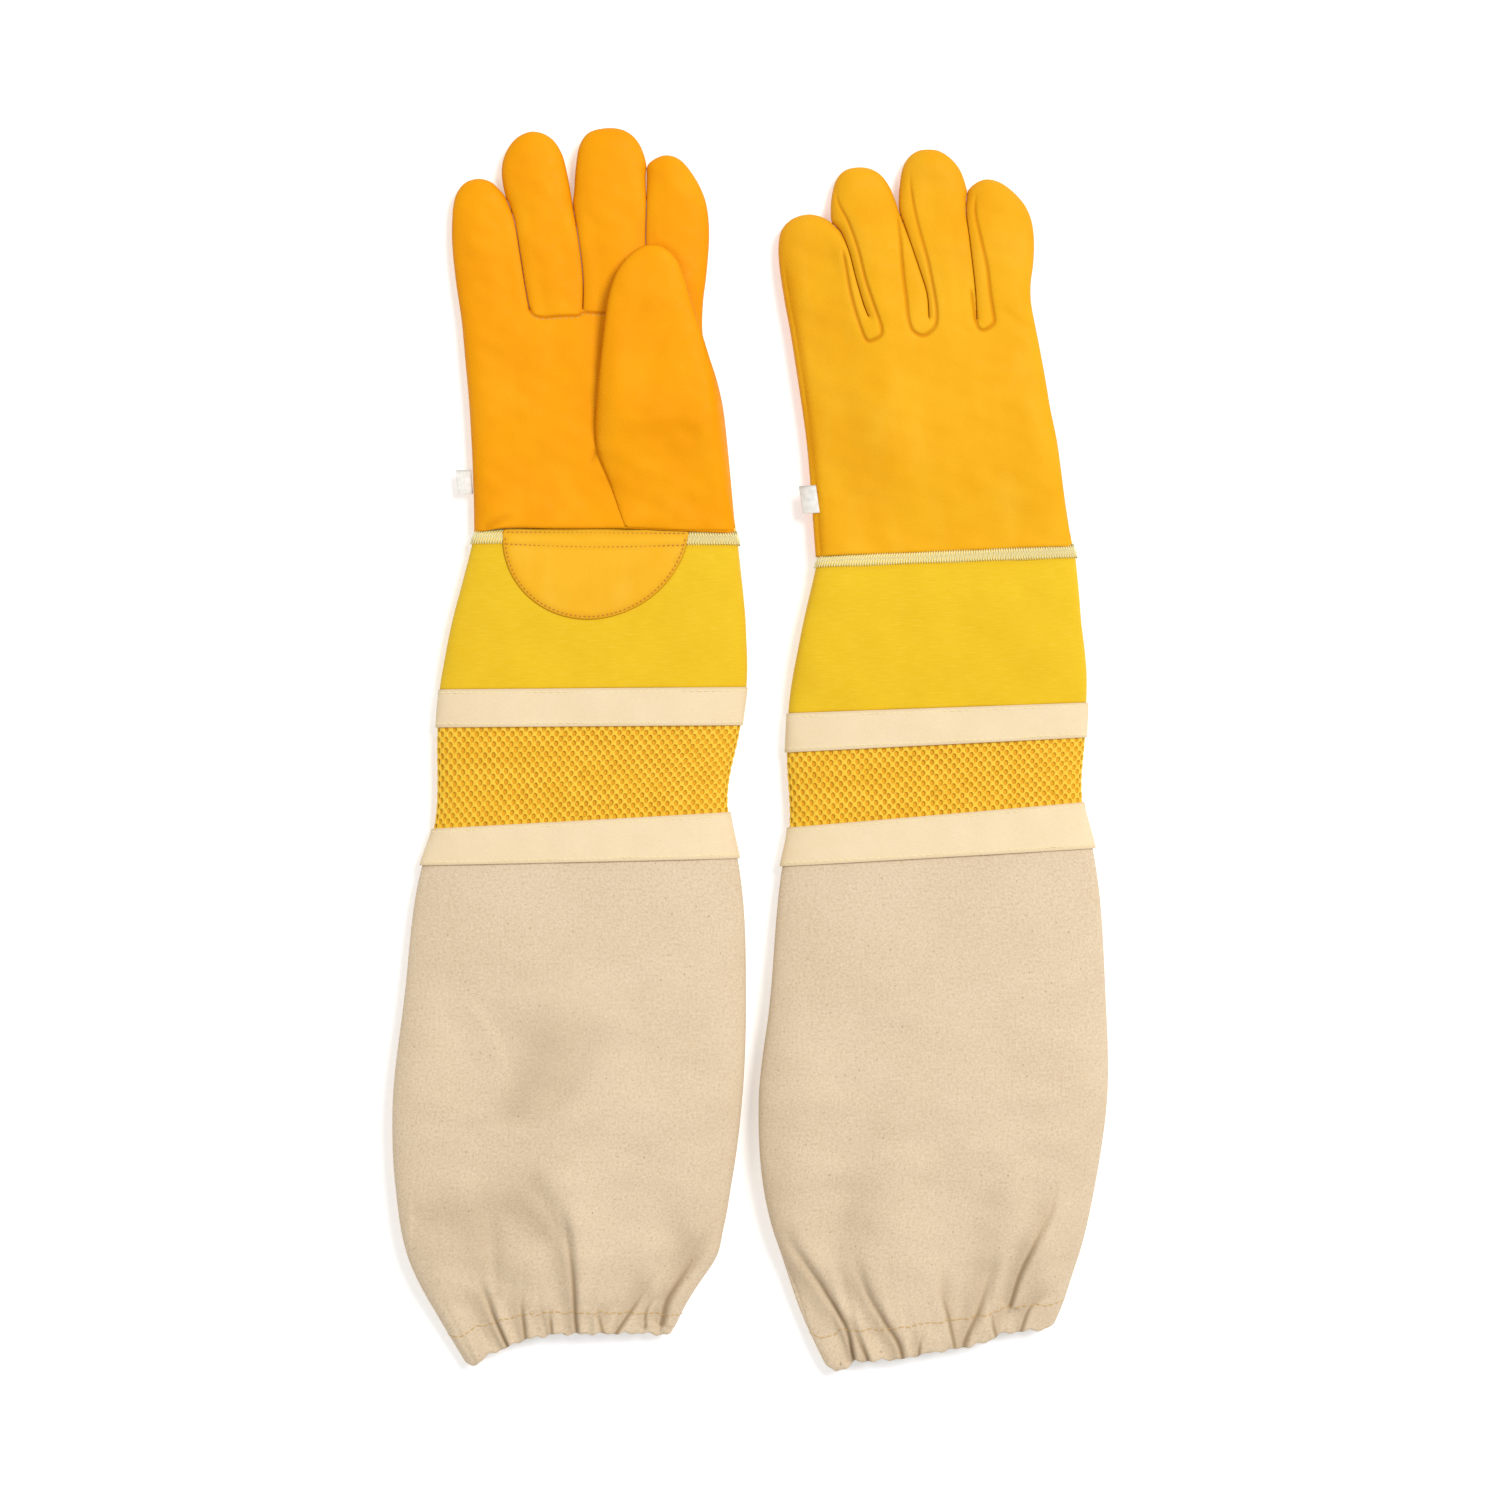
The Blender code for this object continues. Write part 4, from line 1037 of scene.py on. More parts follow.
def tube_rings(glove, stations, count, relief=None, drop=None):
    """The rings of a tube through (distance, inset) stations, and its places, distances and shades."""
    rings, normals, across, places = (
        np.array(part) for part in zip(*(glove.ring(d, inset, count) for d, inset in stations))
    )
    distances = np.array([d for d, _ in stations])
    along = np.repeat(distances[:, None], count + 1, axis=1)
    if drop is not None:
        moved = drop(across, normals[..., 2], along)
        before, after = ([np.add(*glove.edge_at(d + ahead)) for d in distances] for ahead in (-0.5, 0.5))
        step = np.array(after) - np.array(before)
        step /= np.linalg.norm(step, axis=1)[:, None]
        rings[..., :2] += step[:, None, :] * moved[..., None]
        along = along + moved
    shades = np.zeros(along.shape)
    if relief is not None:
        height, shades = relief(rings, normals, across, along)
        rings = rings + normals * height[..., None]
    # Underneath, each layer keeps clear of the floor and of the layer outside it
    insets = np.array([inset for _, inset in stations])
    rings[..., 2] = np.maximum(rings[..., 2], 0.04 + 0.45 * np.maximum(insets + 1.05, 0.0)[:, None])
    return rings, normals, across, places, along, shades


def tube_piece(name, glove, stations, count, material, relief=None, drop=None, shade=None):
    """A tube through (distance, inset) stations. relief moves it along its normals, drop along the arm."""
    rings, normals, across, places, along, shades = tube_rings(glove, stations, count, relief, drop)
    if shade is not None:
        shades = np.maximum(shades, shade(along))
    number = np.arange(len(stations) * count).reshape(-1, count)
    following = np.roll(number, -1, axis=1)
    faces = np.stack((number[:-1], following[:-1], following[1:], number[1:]), axis=-1).reshape(-1, 4)
    place = np.stack((places, along), axis=-1)
    corner_places = np.stack(
        (place[:-1, :-1], place[:-1, 1:], place[1:, 1:], place[1:, :-1]), axis=2
    ).reshape(-1, 4, 2)
    if stations[-1][0] < stations[0][0]:
        faces, corner_places = faces[:, ::-1], corner_places[:, ::-1]
    points = rings[:, :-1].reshape(-1, 3)
    flat_shades = np.clip(shades[:, :-1].reshape(-1), 0.0, 1.0)
    return make_piece(name, points, faces, corner_places, material, flat_shades)


def edged(start, end, spacing, inset, thickness=0.5, tuck=TAPE_TUCK):
    """Stations for a band from start to end, whose ends turn in and back under it."""
    count = max(int(round((end - start) / spacing)), 2)
    middle = [(start + (end - start) * k / count, inset) for k in range(1, count)]
    turn = []
    for angle in np.linspace(0.0, math.pi, 7):
        turn.append((math.sin(angle) * thickness * 0.4, thickness / 2.0 * (1.0 - math.cos(angle))))
    first = [(start - out, inset + deep) for out, deep in reversed(turn)]
    last = [(end + out, inset + deep) for out, deep in turn]
    return (
        [(start + tuck, inset + thickness), (start + tuck / 2.0, inset + thickness)]
        + first + middle + last
        + [(end - tuck / 2.0, inset + thickness), (end - tuck, inset + thickness)]
    )


def cloth_relief(seed, amount, wavelength):
    def relief(rings, normals, across, along):
        height = amount * undulation(rings[..., 0], rings[..., 1] + 3.0 * rings[..., 2], wavelength, seed)
        return height, np.zeros(height.shape)
    return relief


# Painted shade near both ends of a band, where it meets the next one
def ends_shade(start, end, width, amount):
    def shade(along):
        return amount * (np.exp(-np.abs(along - start) / width) + np.exp(-np.abs(along - end) / width))
    return shade


def cuff_inset(distance):
    return 0.9 - 1.2 * float(smooth(-3.0, 2.0, distance))


# Each fold runs down to the hem: its path, depth, width, and which side of it stands up as a ridge
FOLDS = {
    "right": (
        (((-116.0, -222.0), (-111.7, -229.5), (-107.0, -240.5), (-101.6, -252.0)), 1.5, 1.0, 1),
        (((-96.4, -225.5), (-95.4, -238.0), (-94.0, -251.0)), 0.9, 0.8, 1),
        (((-80.0, -186.0), (-76.0, -206.0), (-74.0, -222.0), (-73.2, -240.5), (-72.6, -246.0)),
         1.6, 1.1, 1),
        (((-38.0, -219.0), (-43.0, -226.8), (-50.0, -237.0), (-56.5, -246.5)), 1.1, 0.9, 1),
        (((-15.0, -198.0), (-20.5, -210.0), (-28.0, -222.5), (-34.5, -232.5), (-37.0, -243.0)),
         2.6, 1.2, 1),
        (((-37.0, -229.5), (-42.8, -235.5), (-44.0, -244.0)), 0.8, 0.7, 1),
        (((-64.5, -232.0), (-63.0, -240.0), (-61.5, -247.0)), 0.8, 0.7, -1),
        (((-84.5, -232.0), (-83.6, -240.0), (-83.0, -248.0)), 0.6, 0.7, 1),
        (((-64.0, -104.0), (-68.0, -122.0), (-78.0, -142.0), (-92.0, -155.0), (-118.0, -157.0)),
         1.7, 3.6, 1),
        (((-98.0, -172.0), (-90.0, -184.0), (-82.0, -196.0), (-76.0, -212.0)), 1.2, 2.6, 1),
        (((-112.0, -178.0), (-110.0, -195.0), (-108.0, -212.0), (-105.0, -230.0)), 1.2, 2.8, 1),
    ),
    "left": (
        (((13.0, -198.0), (18.5, -210.0), (30.5, -228.0), (40.5, -244.0), (43.8, -258.0)), 2.2, 1.2, 1),
        (((39.0, -236.0), (45.5, -248.0), (51.0, -261.0)), 1.1, 0.9, 1),
        (((43.0, -209.0), (48.0, -226.0), (56.3, -240.7), (62.5, -251.0), (65.0, -262.0)), 1.7, 1.1, 1),
        (((79.5, -216.0), (81.0, -229.5), (83.5, -240.0), (86.0, -252.0)), 0.9, 0.8, -1),
        (((104.0, -206.0), (100.8, -221.0), (96.4, -236.0), (90.5, -249.0), (88.5, -258.0)), 1.6, 1.3, 1),
        (((129.0, -178.0), (127.4, -187.0), (123.8, -198.0), (118.5, -208.5), (113.0, -221.0),
          (109.2, -235.0)), 2.0, 0.9, 1),
        (((103.0, -232.0), (102.0, -241.0), (104.5, -251.0)), 0.7, 0.7, -1),
        (((127.0, -228.0), (118.0, -235.0), (113.5, -246.0)), 0.8, 0.8, 1),
        (((73.0, -243.0), (71.5, -250.0), (70.5, -258.0)), 0.5, 0.6, 1),
    ),
}
# Broad soft slopes of the cloth: a place, how far it reaches along and across, its turn and height
SWELLS = {
    "right": ((-110.0, -150.0, 30.0, 15.0, -0.6, -2.6), (-122.0, -124.0, 16.0, 10.0, 0.2, -1.6),
              (-105.0, -205.0, 30.0, 12.0, -0.25, -3.0), (-72.0, -206.0, 34.0, 14.0, 0.1, 2.6),
              (-32.0, -206.0, 30.0, 9.0, 0.4, -1.6), (-124.0, -195.0, 26.0, 9.0, -0.3, 1.6)),
    "left": ((34.0, -205.0, 34.0, 10.0, -0.3, -2.6), (56.0, -205.0, 34.0, 11.0, -0.15, 2.4),
             (80.0, -205.0, 36.0, 9.0, 0.05, -1.8), (97.0, -218.0, 28.0, 9.0, 0.25, -3.0),
             (118.0, -206.0, 36.0, 9.0, 0.35, 2.6), (20.0, -170.0, 40.0, 12.0, -0.1, 1.8)),
}
# How far the hem's upper side hangs below a straight end, from its left edge at -1 to its right at 1
HEM_DROP = {
    "right": (
        (-1.0, 0.0), (-0.88, -0.2), (-0.8, -3.0), (-0.65, -4.9), (-0.38, -7.9), (-0.09, -8.0),
        (0.28, -5.6), (0.7, -2.8), (0.95, 0.0), (1.0, 0.3),
    ),
    "left": (
        (-1.0, 0.0), (-0.92, 2.2), (-0.82, 1.6), (-0.74, -0.6), (-0.59, 0.6), (-0.33, 2.1),
        (-0.17, 1.5), (0.13, 2.2), (0.41, 1.7), (0.52, -0.3), (0.7, -0.1), (0.9, 1.1), (1.0, 0.3),
    ),
}
HEM_DEPTH = {"right": 10.6, "left": 12.4}
HEM_ROUND = 1.2  # the radius of the fold at the hem's end
CANVAS_INSET = 0.25


def bell(away, width):
    """1 at the middle, and falling away smoothly over width."""
    return np.exp(-((away / width) ** 2))


def sleeve_fields(glove):
    """The sleeve's drop at its hem and its folds, as functions of the place on it."""
    side = glove.side
    end = glove.distance_to("hem_end")
    gathers = glove.distance_to("narrowing")
    table = np.array(HEM_DROP[side])
    draw = np.random.default_rng(5 if side == "right" else 6)
    puckers = [
        (draw.uniform(-1.0, 1.0), draw.uniform(0.010, 0.022), draw.uniform(-0.8, 1.0)) for _ in range(46)
    ]
    under_folds = [
        (k / 13.0 - 1.0 + draw.uniform(-0.03, 0.03), draw.uniform(0.018, 0.03), draw.uniform(0.6, 1.5))
        for k in range(27)
    ]
    folds = []
    for points, depth, width, ridge in FOLDS[side]:
        path = smooth_path(points, 1.2)
        folds.append((path, np.gradient(path, axis=0), depth, width, ridge))

    def drop(across, rise, along):
        share = smooth(end - 55.0, end, along) ** 1.4
        upper = smooth(-0.3, 0.3, rise)
        ripple = 0.35 * np.sin(across * 29.0 + 1.3) + 0.3 * np.sin(across * 53.0 + 0.4)
        return share * (np.interp(across, table[:, 0], table[:, 1]) + ripple * upper - 2.2 * (1.0 - upper))

    def relief(rings, normals, across, along):
        upper = smooth(-0.1, 0.35, normals[..., 2])
        plan = rings[..., :2].reshape(-1, 2)
        height = np.zeros(across.shape)
        shades = np.zeros(across.shape)
        for path, heading, depth, width, ridge in folds:
            low, high = path.min(0) - 30.0, path.max(0) + 30.0
            near = np.nonzero(((plan > low) & (plan < high)).all(1))[0]
            if not len(near):
                continue
            away, run = distance_to_path(plan[near], path)
            index = np.clip((run * (len(path) - 1)).astype(int), 0, len(path) - 1)
            offset = plan[near] - path[index]
            turned = heading[index, 0] * offset[:, 1] - heading[index, 1] * offset[:, 0]
            signed = away * np.where(turned >= 0.0, 1.0, -1.0) * ridge
            fade = smooth(0.0, 0.35, run)
            if width > 2.0:
                fade = fade * smooth(1.0, 0.7, run)
            end_fade = np.where(run >= 0.999, bell(away, 2.0 * width), 1.0)
            spread = width * (0.8 + 1.5 * (1.0 - run))
            cut = bell(signed, spread)
            crest = bell(signed - 2.0 * spread, 2.6 * spread)
            slope = bell(signed + 5.0 * spread, 3.6 * spread)
            height.flat[near] += fade * end_fade * depth * (0.8 * crest - 0.75 * slope - cut)
            # Painted shade along each fold's line and on its low side
            sharp = min(1.0, 1.6 / width**2)
            line = 0.95 * sharp * bell(away, 0.5 + 0.4 * width) * smooth(0.1, 0.7, run)
            soft = 0.22 * fade * bell(signed + 1.6 * spread, 2.4 * spread)
            shades.flat[near] = np.maximum(shades.flat[near], end_fade * np.maximum(line, soft))
        height *= upper
        shades *= upper
        x, y = rings[..., 0], rings[..., 1]
        for cx, cy, reach, wide, turn, amount in SWELLS[side]:
            u = (x - cx) * math.cos(turn) + (y - cy) * math.sin(turn)
            v = (y - cy) * math.cos(turn) - (x - cx) * math.sin(turn)
            height += upper * amount * np.exp(-((u / wide) ** 2) - (v / reach) ** 2)
        near_hem = smooth(gathers + 16.0, end - 6.0, along)
        for centre, width, size in puckers:
            height += upper * 0.5 * size * near_hem**2 * bell(across - centre, 1.5 * width)
        beneath = (1.0 - upper) * near_hem**1.4 * smooth(1.0, 0.93, np.abs(across))
        for centre, width, size in under_folds:
            height -= 1.2 * size * beneath * bell(across - centre, 1.4 * width)
        broad = smooth(150.0, 200.0, along) * smooth(1.0, 0.8, np.abs(across))
        height += broad * (0.5 * undulation(x, y, 46.0, 41) + 0.25 * undulation(x, y, 19.0, 42))
        return height, shades

    return drop, relief


def declare_cloth(glove, start, end):
    """The girths of a tube at 24 places from start to end, which are worked out and then dropped."""
    girths = [glove.ring(v, 0.0, 90)[3][-1] for v in np.linspace(start, end, 24)]


def binding_end(glove):
    return 3.6 if glove.palm_up else 3.4


def cotton_cuff(glove):
    """The cotton cuff, tucked into the leather above and under the tape below."""
    side = glove.side
    start, end = -6.5, glove.distance_to("cuff_end")
    places = np.concatenate((
        np.arange(start, 4.0, 0.6), np.arange(4.0, end - 2.0, 1.6), np.arange(end - 2.0, end + 3.0, 0.5),
    ))
    stations = [(v, cuff_inset(v) + float(smooth(end - 0.6, end + 0.8, v))) for v in places]
    cuff = tube_piece(
        f"{side}_cotton_cuff_cloth", glove, stations, 190, COTTON,
        cloth_relief(51, 0.22, 30.0), shade=ends_shade(binding_end(glove), end, 0.7, 0.2),
    )
    dress(cuff, f"{side}_hand", [f"{side}_cotton_cuff"])
    declare_cloth(glove, start, end + 3.0)


def wrist_overlock(glove):
    """The overlocked edge of the wrist seam, and the zigzag of thread over it."""
    side = glove.side
    low, high = -4.0, binding_end(glove)
    stations = []
    for v in np.linspace(low, high, 15):
        share = (v - low) / (high - low)
        stations.append((v, cuff_inset(v) - 0.42 * min(4.0 * (1.0 - share), 1.0) ** 0.5 + 0.05))
    strip = tube_piece(f"{side}_wrist_overlock_strip", glove, stations, 190, BINDING)
    dress(strip, f"{side}_hand", [f"{side}_wrist_binding"])

    low = -2.6
    levels = (0.0, 0.28, 0.62, 0.97, 0.9, 0.45)
    count = len(levels) * OVERLOCK_LOOPS
    rows = []
    for level in levels:
        distance = low + (high - low) * level
        rows.append(tube_rings(glove, [(distance, cuff_inset(distance) - 0.6)], count)[0][0])
    line = np.array([rows[k % len(levels)][k] for k in range(count)])
    thread_piece = thread_path(f"{side}_wrist_overlock_thread", line, 0.19, CREAM_THREAD)
    dress(thread_piece, f"{side}_hand")


def tapes(glove):
    """The cream tapes on both sides of the mesh, each with a row of stitches near either edge."""
    side = glove.side
    for name, low, high, body in TAPES:
        low, high = glove.distance_to(low), glove.distance_to(high)
        band = tube_piece(
            f"{side}_{name}_cloth", glove, edged(low, high, 1.2, -0.95), 220, TAPE,
            cloth_relief(61, 0.16, 24.0), shade=ends_shade(low, high, 0.4, 0.25),
        )
        dress(band, f"{side}_{body}", [f"{side}_{name}"])
        declare_cloth(glove, low, high)
        rows = [tube_rings(glove, [(v, -1.0)], 500)[0][0] for v in (low + 1.3, high - 1.3)]
        stitches = stitch_rows(f"{side}_{name}_stitches", rows, 2.3, 0.8, 0.19, CREAM_THREAD)
        dress(stitches, f"{side}_{body}")


def canvas_sleeve(glove):
    """The canvas sleeve, the casing folded up inside its hem, the elastic and the casing's stitches."""
    side = glove.side
    body = f"{side}_gauntlet"
    drop, relief = sleeve_fields(glove)
    start, end = glove.distance_to("lower_tape_end") - 3.0, glove.distance_to("hem_end")
    finer = end - 95.0
    places = np.concatenate((np.arange(start, finer, 2.0), np.arange(finer, end - HEM_ROUND, 0.8)))
    turn, inner = [], []
    bend = end - HEM_ROUND
    for angle in np.linspace(0.0, math.pi / 2.0, 6):
        turn.append((bend + HEM_ROUND * math.sin(angle), CANVAS_INSET + 1.0 - math.cos(angle)))
    for angle in np.linspace(0.4, math.pi / 2.0, 4):
        inner.append((bend + HEM_ROUND * math.cos(angle), CANVAS_INSET + 1.0 + 0.9 * math.sin(angle)))
    around = 400
    stations = [(v, CANVAS_INSET) for v in places] + turn
    sleeve = tube_piece(f"{side}_canvas_sleeve_cloth", glove, stations, around, CANVAS, relief, drop)
    dress(sleeve, body, [f"{side}_canvas_sleeve"])
    declare_cloth(glove, start, end)
    depth = HEM_DEPTH[side]
    casing = turn[-1:] + inner + [(v, 2.15) for v in np.arange(end - 2.0, end - depth - 2.0, -0.9)]
    hem = tube_piece(f"{side}_hem_casing_cloth", glove, casing, around, CANVAS, relief, drop)
    dress(hem, body, [f"{side}_hem_casing"])
    declare_cloth(glove, end - depth - 2.0, end)
    elastic = [(v, 1.3) for v in np.arange(end - depth + 2.5, end - 3.0, 1.0)]
    band = tube_piece(f"{side}_hem_elastic_band", glove, elastic, 200, RUBBER, relief, drop)
    dress(band, body, [f"{side}_hem_elastic"])
    rings, *_ = tube_rings(glove, [(end - depth, 0.13)], 700, relief, drop)
    stitches = stitch_rows(f"{side}_hem_stitches", [rings[0]], 2.4, 0.5, 0.24, GOLD_THREAD)
    dress(stitches, body)


def mesh_band(glove):
    """The ventilated band: a knitted net of staggered oval holes over a darker base."""
    side = glove.side
    start, end = glove.distance_to("upper_tape_end") - 2.2, glove.distance_to("mesh_end") + 2.2
    rows = int(round((end - start) / MESH_ROW_PITCH))
    columns = 70
    resolution = 420
    row_places = np.linspace(start, end, 60)
    rings, normals, _, places, *_ = tube_rings(glove, [(v, 0.35) for v in row_places], resolution)

    def surface(u, v, lift):
        """Points at shares u round the band and v along it."""
        a, b = np.mod(u, 1.0) * resolution, np.clip(v, 0.0, 1.0) * (len(row_places) - 1)
        i, j = np.minimum(a.astype(int), resolution - 1), np.minimum(b.astype(int), len(row_places) - 2)
        s, t = (a - i)[..., None], (b - j)[..., None]
        place, normal = (
            grid[j, i] * (1 - s) * (1 - t) + grid[j, i + 1] * s * (1 - t)
            + grid[j + 1, i] * (1 - s) * t + grid[j + 1, i + 1] * s * t
            for grid in (rings, normals)
        )
        return place + normal * lift[..., None]

    pitch = float(np.mean(places[:, -1])) / columns
    tall = (end - start) / rows
    top, shoulder = 0.68 * tall, 0.32 * tall
    beside = (top + shoulder) / 2.0
    corners = (
        (2, -shoulder), (2, 0.0), (2, shoulder), (1, beside), (0, top), (-1, beside),
        (-2, shoulder), (-2, 0.0), (-2, -shoulder), (-1, -beside), (0, -top), (1, -beside),
    )
    cell = np.array(corners) * (pitch / 4.0, 1.0)
    angles = np.arctan2(cell[:, 1] / tall, cell[:, 0] / pitch)
    hole = np.column_stack((0.8 * np.cos(angles), 1.14 * np.sin(angles)))
    layers = np.array((cell, cell * 0.5 + hole * 0.5, hole * 1.1, hole, hole * 1.05))
    lifts = np.repeat((0.3, 0.34, 0.16, -0.1, -0.45), len(cell))
    moving = np.array((0.0, 1.0, 1.0, 1.0, 1.0))[:, None, None]
    one_hole = np.arange(lifts.size).reshape(len(layers), -1)
    following = np.roll(one_hole, -1, axis=1)
    quads = np.stack((one_hole[:-1], following[:-1], following[1:], one_hole[1:]), axis=-1).reshape(-1, 4)
    places, faces = [], []
    draw = np.random.default_rng(9)
    for row in range(rows):
        for column in range(columns):
            centre = np.array(((column + 0.5 * (row % 2)) * pitch, (row + 0.5) * tall))
            faces.append(quads + len(places) * lifts.size)
            places.append((centre + layers + draw.normal(0.0, 0.07, 2) * moving).reshape(-1, 2))
    faces = np.concatenate(faces)
    lifts = np.tile(lifts, len(places))
    places = np.concatenate(places)
    world = surface(places[:, 0] / (pitch * columns), places[:, 1] / (end - start), lifts)
    keys = np.round(world / 0.02).astype(np.int64)
    _, firsts, inverse = np.unique(keys, axis=0, return_index=True, return_inverse=True)
    faces = faces[:, ::-1]
    corner_places = places[faces]
    faces = inverse.reshape(-1)[faces]
    world = world[firsts]
    net = make_piece(f"{side}_mesh_net", world, faces, corner_places, KNIT, np.zeros(len(world)))
    stations = [(v, 0.85) for v in np.linspace(start, end, 26)]
    base = tube_piece(f"{side}_mesh_base", glove, stations, 180, KNIT_BASE)
    for station in ("mesh_end", "upper_tape_end"):
        left, right = glove.edge_at(glove.distance_to(station))
    for piece in (net, base):
        dress(piece)
        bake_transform(piece)
    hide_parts(f"{side}_mesh_band")
    declare_cloth(glove, start, end)


# ---------------------------------------------------------------- patch, stitches and labels


def cuff_top(glove, across, distance, lift):
    """Points lift above the cuff on the palm's side, which lies beneath on the palm-down glove."""
    points = glove.upper(across, distance, 0.0)
    if glove.palm_up:
        points[:, 2] += lift - np.array([cuff_inset(v) for v in distance])
    else:
        points[:, 2] = 1.35 - lift
    return points


def patch(glove):
    """The half-moon of leather over the wrist seam, and its stitches."""
    side = glove.side
    angle = np.linspace(0.0, math.pi, 100)

    def half_moon(inward):
        x = PATCH_CENTRE + (PATCH_HALF - inward) * np.cos(angle)
        return np.column_stack((x, PATCH_TOP + (PATCH_LENGTH - inward) * np.sin(angle)))

    arc = half_moon(0.0)
    top = smooth_path((arc[-1], (PATCH_CENTRE, PATCH_TOP - 0.8), arc[0]), 1.2)
    outline = np.concatenate((arc, top[1:-1]))
    net = Net(outline, [], 1.6, (0.15, 0.45, 0.9, 1.5), (0.5,))
    x, y = net.points[:, 0], net.points[:, 1]
    edge, _ = distance_to_path(net.points, np.vstack((outline, outline[:1])))
    xs = np.linspace(PATCH_CENTRE - PATCH_HALF + 1.4, PATCH_CENTRE + PATCH_HALF - 1.4, 90)
    rows = [
        half_moon(1.2)[3:-3],
        np.column_stack((xs, -1.3 + 0.0 * xs)),
        np.column_stack((xs, 4.6 - 0.0007 * (xs - PATCH_CENTRE) ** 2)),
    ]
    pressed = np.zeros(len(x))
    for row in rows:
        pressed = np.maximum(pressed, np.exp(-((distance_to_path(net.points, row)[0] / 0.75) ** 2)))
    lift = 0.3 + 0.95 * rounding(edge, 0.9, 2.0) - 0.3 * pressed
    lift += 0.1 * undulation(x, y, 16.0, 71) * smooth(1.0, 6.0, edge)
    lift[net.on_rim] = 0.3
    upper, lower = cuff_top(glove, x, y, lift), cuff_top(glove, x, y, np.full(len(x), 0.2))
    everything, *layers = padded(net, upper, lower, net.on_rim, 0.05, glove.palm_up)
    # Painted shade along the patch's edge and in its pressed stitch rows
    shades = np.clip(0.55 * np.exp(-edge / 0.6) + 0.25 * pressed, 0.0, 0.8)
    shades = np.concatenate((shades, shades))
    places = both_places(net, 700.0, 200.0)
    name = f"{side}_wrist_patch"
    piece = make_piece(f"{name}_leather", everything, np.concatenate(layers), places, PATCH, shades)
    dress(piece, f"{side}_hand", [name])

    lines = [cuff_top(glove, row[:, 0], row[:, 1], np.full(len(row), 1.02)) for row in rows]
    stitches = stitch_rows(f"{side}_patch_stitches", lines, 1.15, 0.75, 0.27, TAN_THREAD)
    dress(stitches, f"{side}_hand")


def threads(name, courses, sides, floor, material):
    """Thin tubes, each given as its centres, cross vectors, upward vectors and lengths along it."""
    points, faces, places = [], [], []
    turn = math.tau * np.arange(sides) / sides
    for centres, across, up, lengths in courses:
        first = sum(len(part) for part in points)
        ring = across[:, None] * np.cos(turn)[:, None] + up[:, None] * np.sin(turn)[:, None]
        points.append((centres[:, None] + ring).reshape(-1, 3))
        places.append(np.stack(np.broadcast_arrays(lengths[:, None], turn), axis=-1).reshape(-1, 2))
        number = first + np.arange(len(centres) * sides).reshape(-1, sides)
        following = np.roll(number, -1, axis=1)
        quads = np.stack((number[:-1], following[:-1], following[1:], number[1:]), axis=-1)
        faces.append(quads.reshape(-1, 4))
    points = np.concatenate(points)
    points[:, 2] = np.maximum(points[:, 2], floor)
    return make_piece(name, points, np.concatenate(faces), np.concatenate(places), material)


# Each ring of a stitch: how far along it lies, and its thickness
STITCH_RINGS = np.array(((0.0, 0.35), (0.12, 0.85), (0.35, 1.0), (0.65, 1.0), (0.88, 0.85), (1.0, 0.35)))


def stitch_rows(name, lines, length, gap, radius, material, up=1.0):
    """Raised stitches along 3-D lines on a surface."""
    shares, thickness = STITCH_RINGS.T
    bow = radius * up * (np.maximum(np.sin(math.pi * shares), 0.0) ** 0.5 - 1.0)
    courses = []
    for line in lines:
        lengths = path_lengths(line)
        total = lengths[-1]
        number = int(total // (length + gap))
        for k in range(number):
            places = (k + 0.5) * total / number - length / 2.0 + shares * length
            centres = np.column_stack([np.interp(places, lengths, line[:, c]) for c in range(3)])
            centres[:, 2] += bow
            tangent = centres[-1] - centres[0]
            tangent[2] = 0.0
            tangent /= max(np.linalg.norm(tangent), 1e-9)
            thick = (radius * thickness)[:, None]
            across = thick * np.array((-tangent[1], tangent[0], 0.0))
            courses.append((centres, across, thick * np.array((0.0, 0.0, 1.0)), places))
    return threads(name, courses, 6, 0.05, material)


def thread_path(name, line, radius, material):
    """A continuous thin thread along a 3-D line."""
    tangent = np.gradient(line, axis=0)
    tangent /= np.maximum(np.linalg.norm(tangent, axis=1), 1e-9)[:, None]
    across = np.cross(tangent, (0.0, 0.0, 1.0))
    across /= np.maximum(np.linalg.norm(across, axis=1), 1e-6)[:, None]
    course = (line, radius * across, radius * np.cross(across, tangent), path_lengths(line))
    return threads(name, [course], 5, 0.03, material)


def hand_seam_stitches(glove, net, palm):
    """Small stitches along the front panel's seam."""
    side = glove.side
    seam = smooth_path(FRONT_SEAM[side], 0.7)[2:-2]
    line = seam - (0.0, 0.75)
    nearest = ((line[:, None, :] - net.points[None]) ** 2).sum(2).argmin(1)
    points = glove.hand_points(line[:, 0], line[:, 1], palm[nearest] + 0.02)
    up = 1.0 if glove.palm_up else -1.0
    piece = stitch_rows(f"{side}_front_seam_stitches", [points], 1.9, 0.5, 0.17, SEAM_THREAD, up)
    dress(piece, f"{side}_hand")


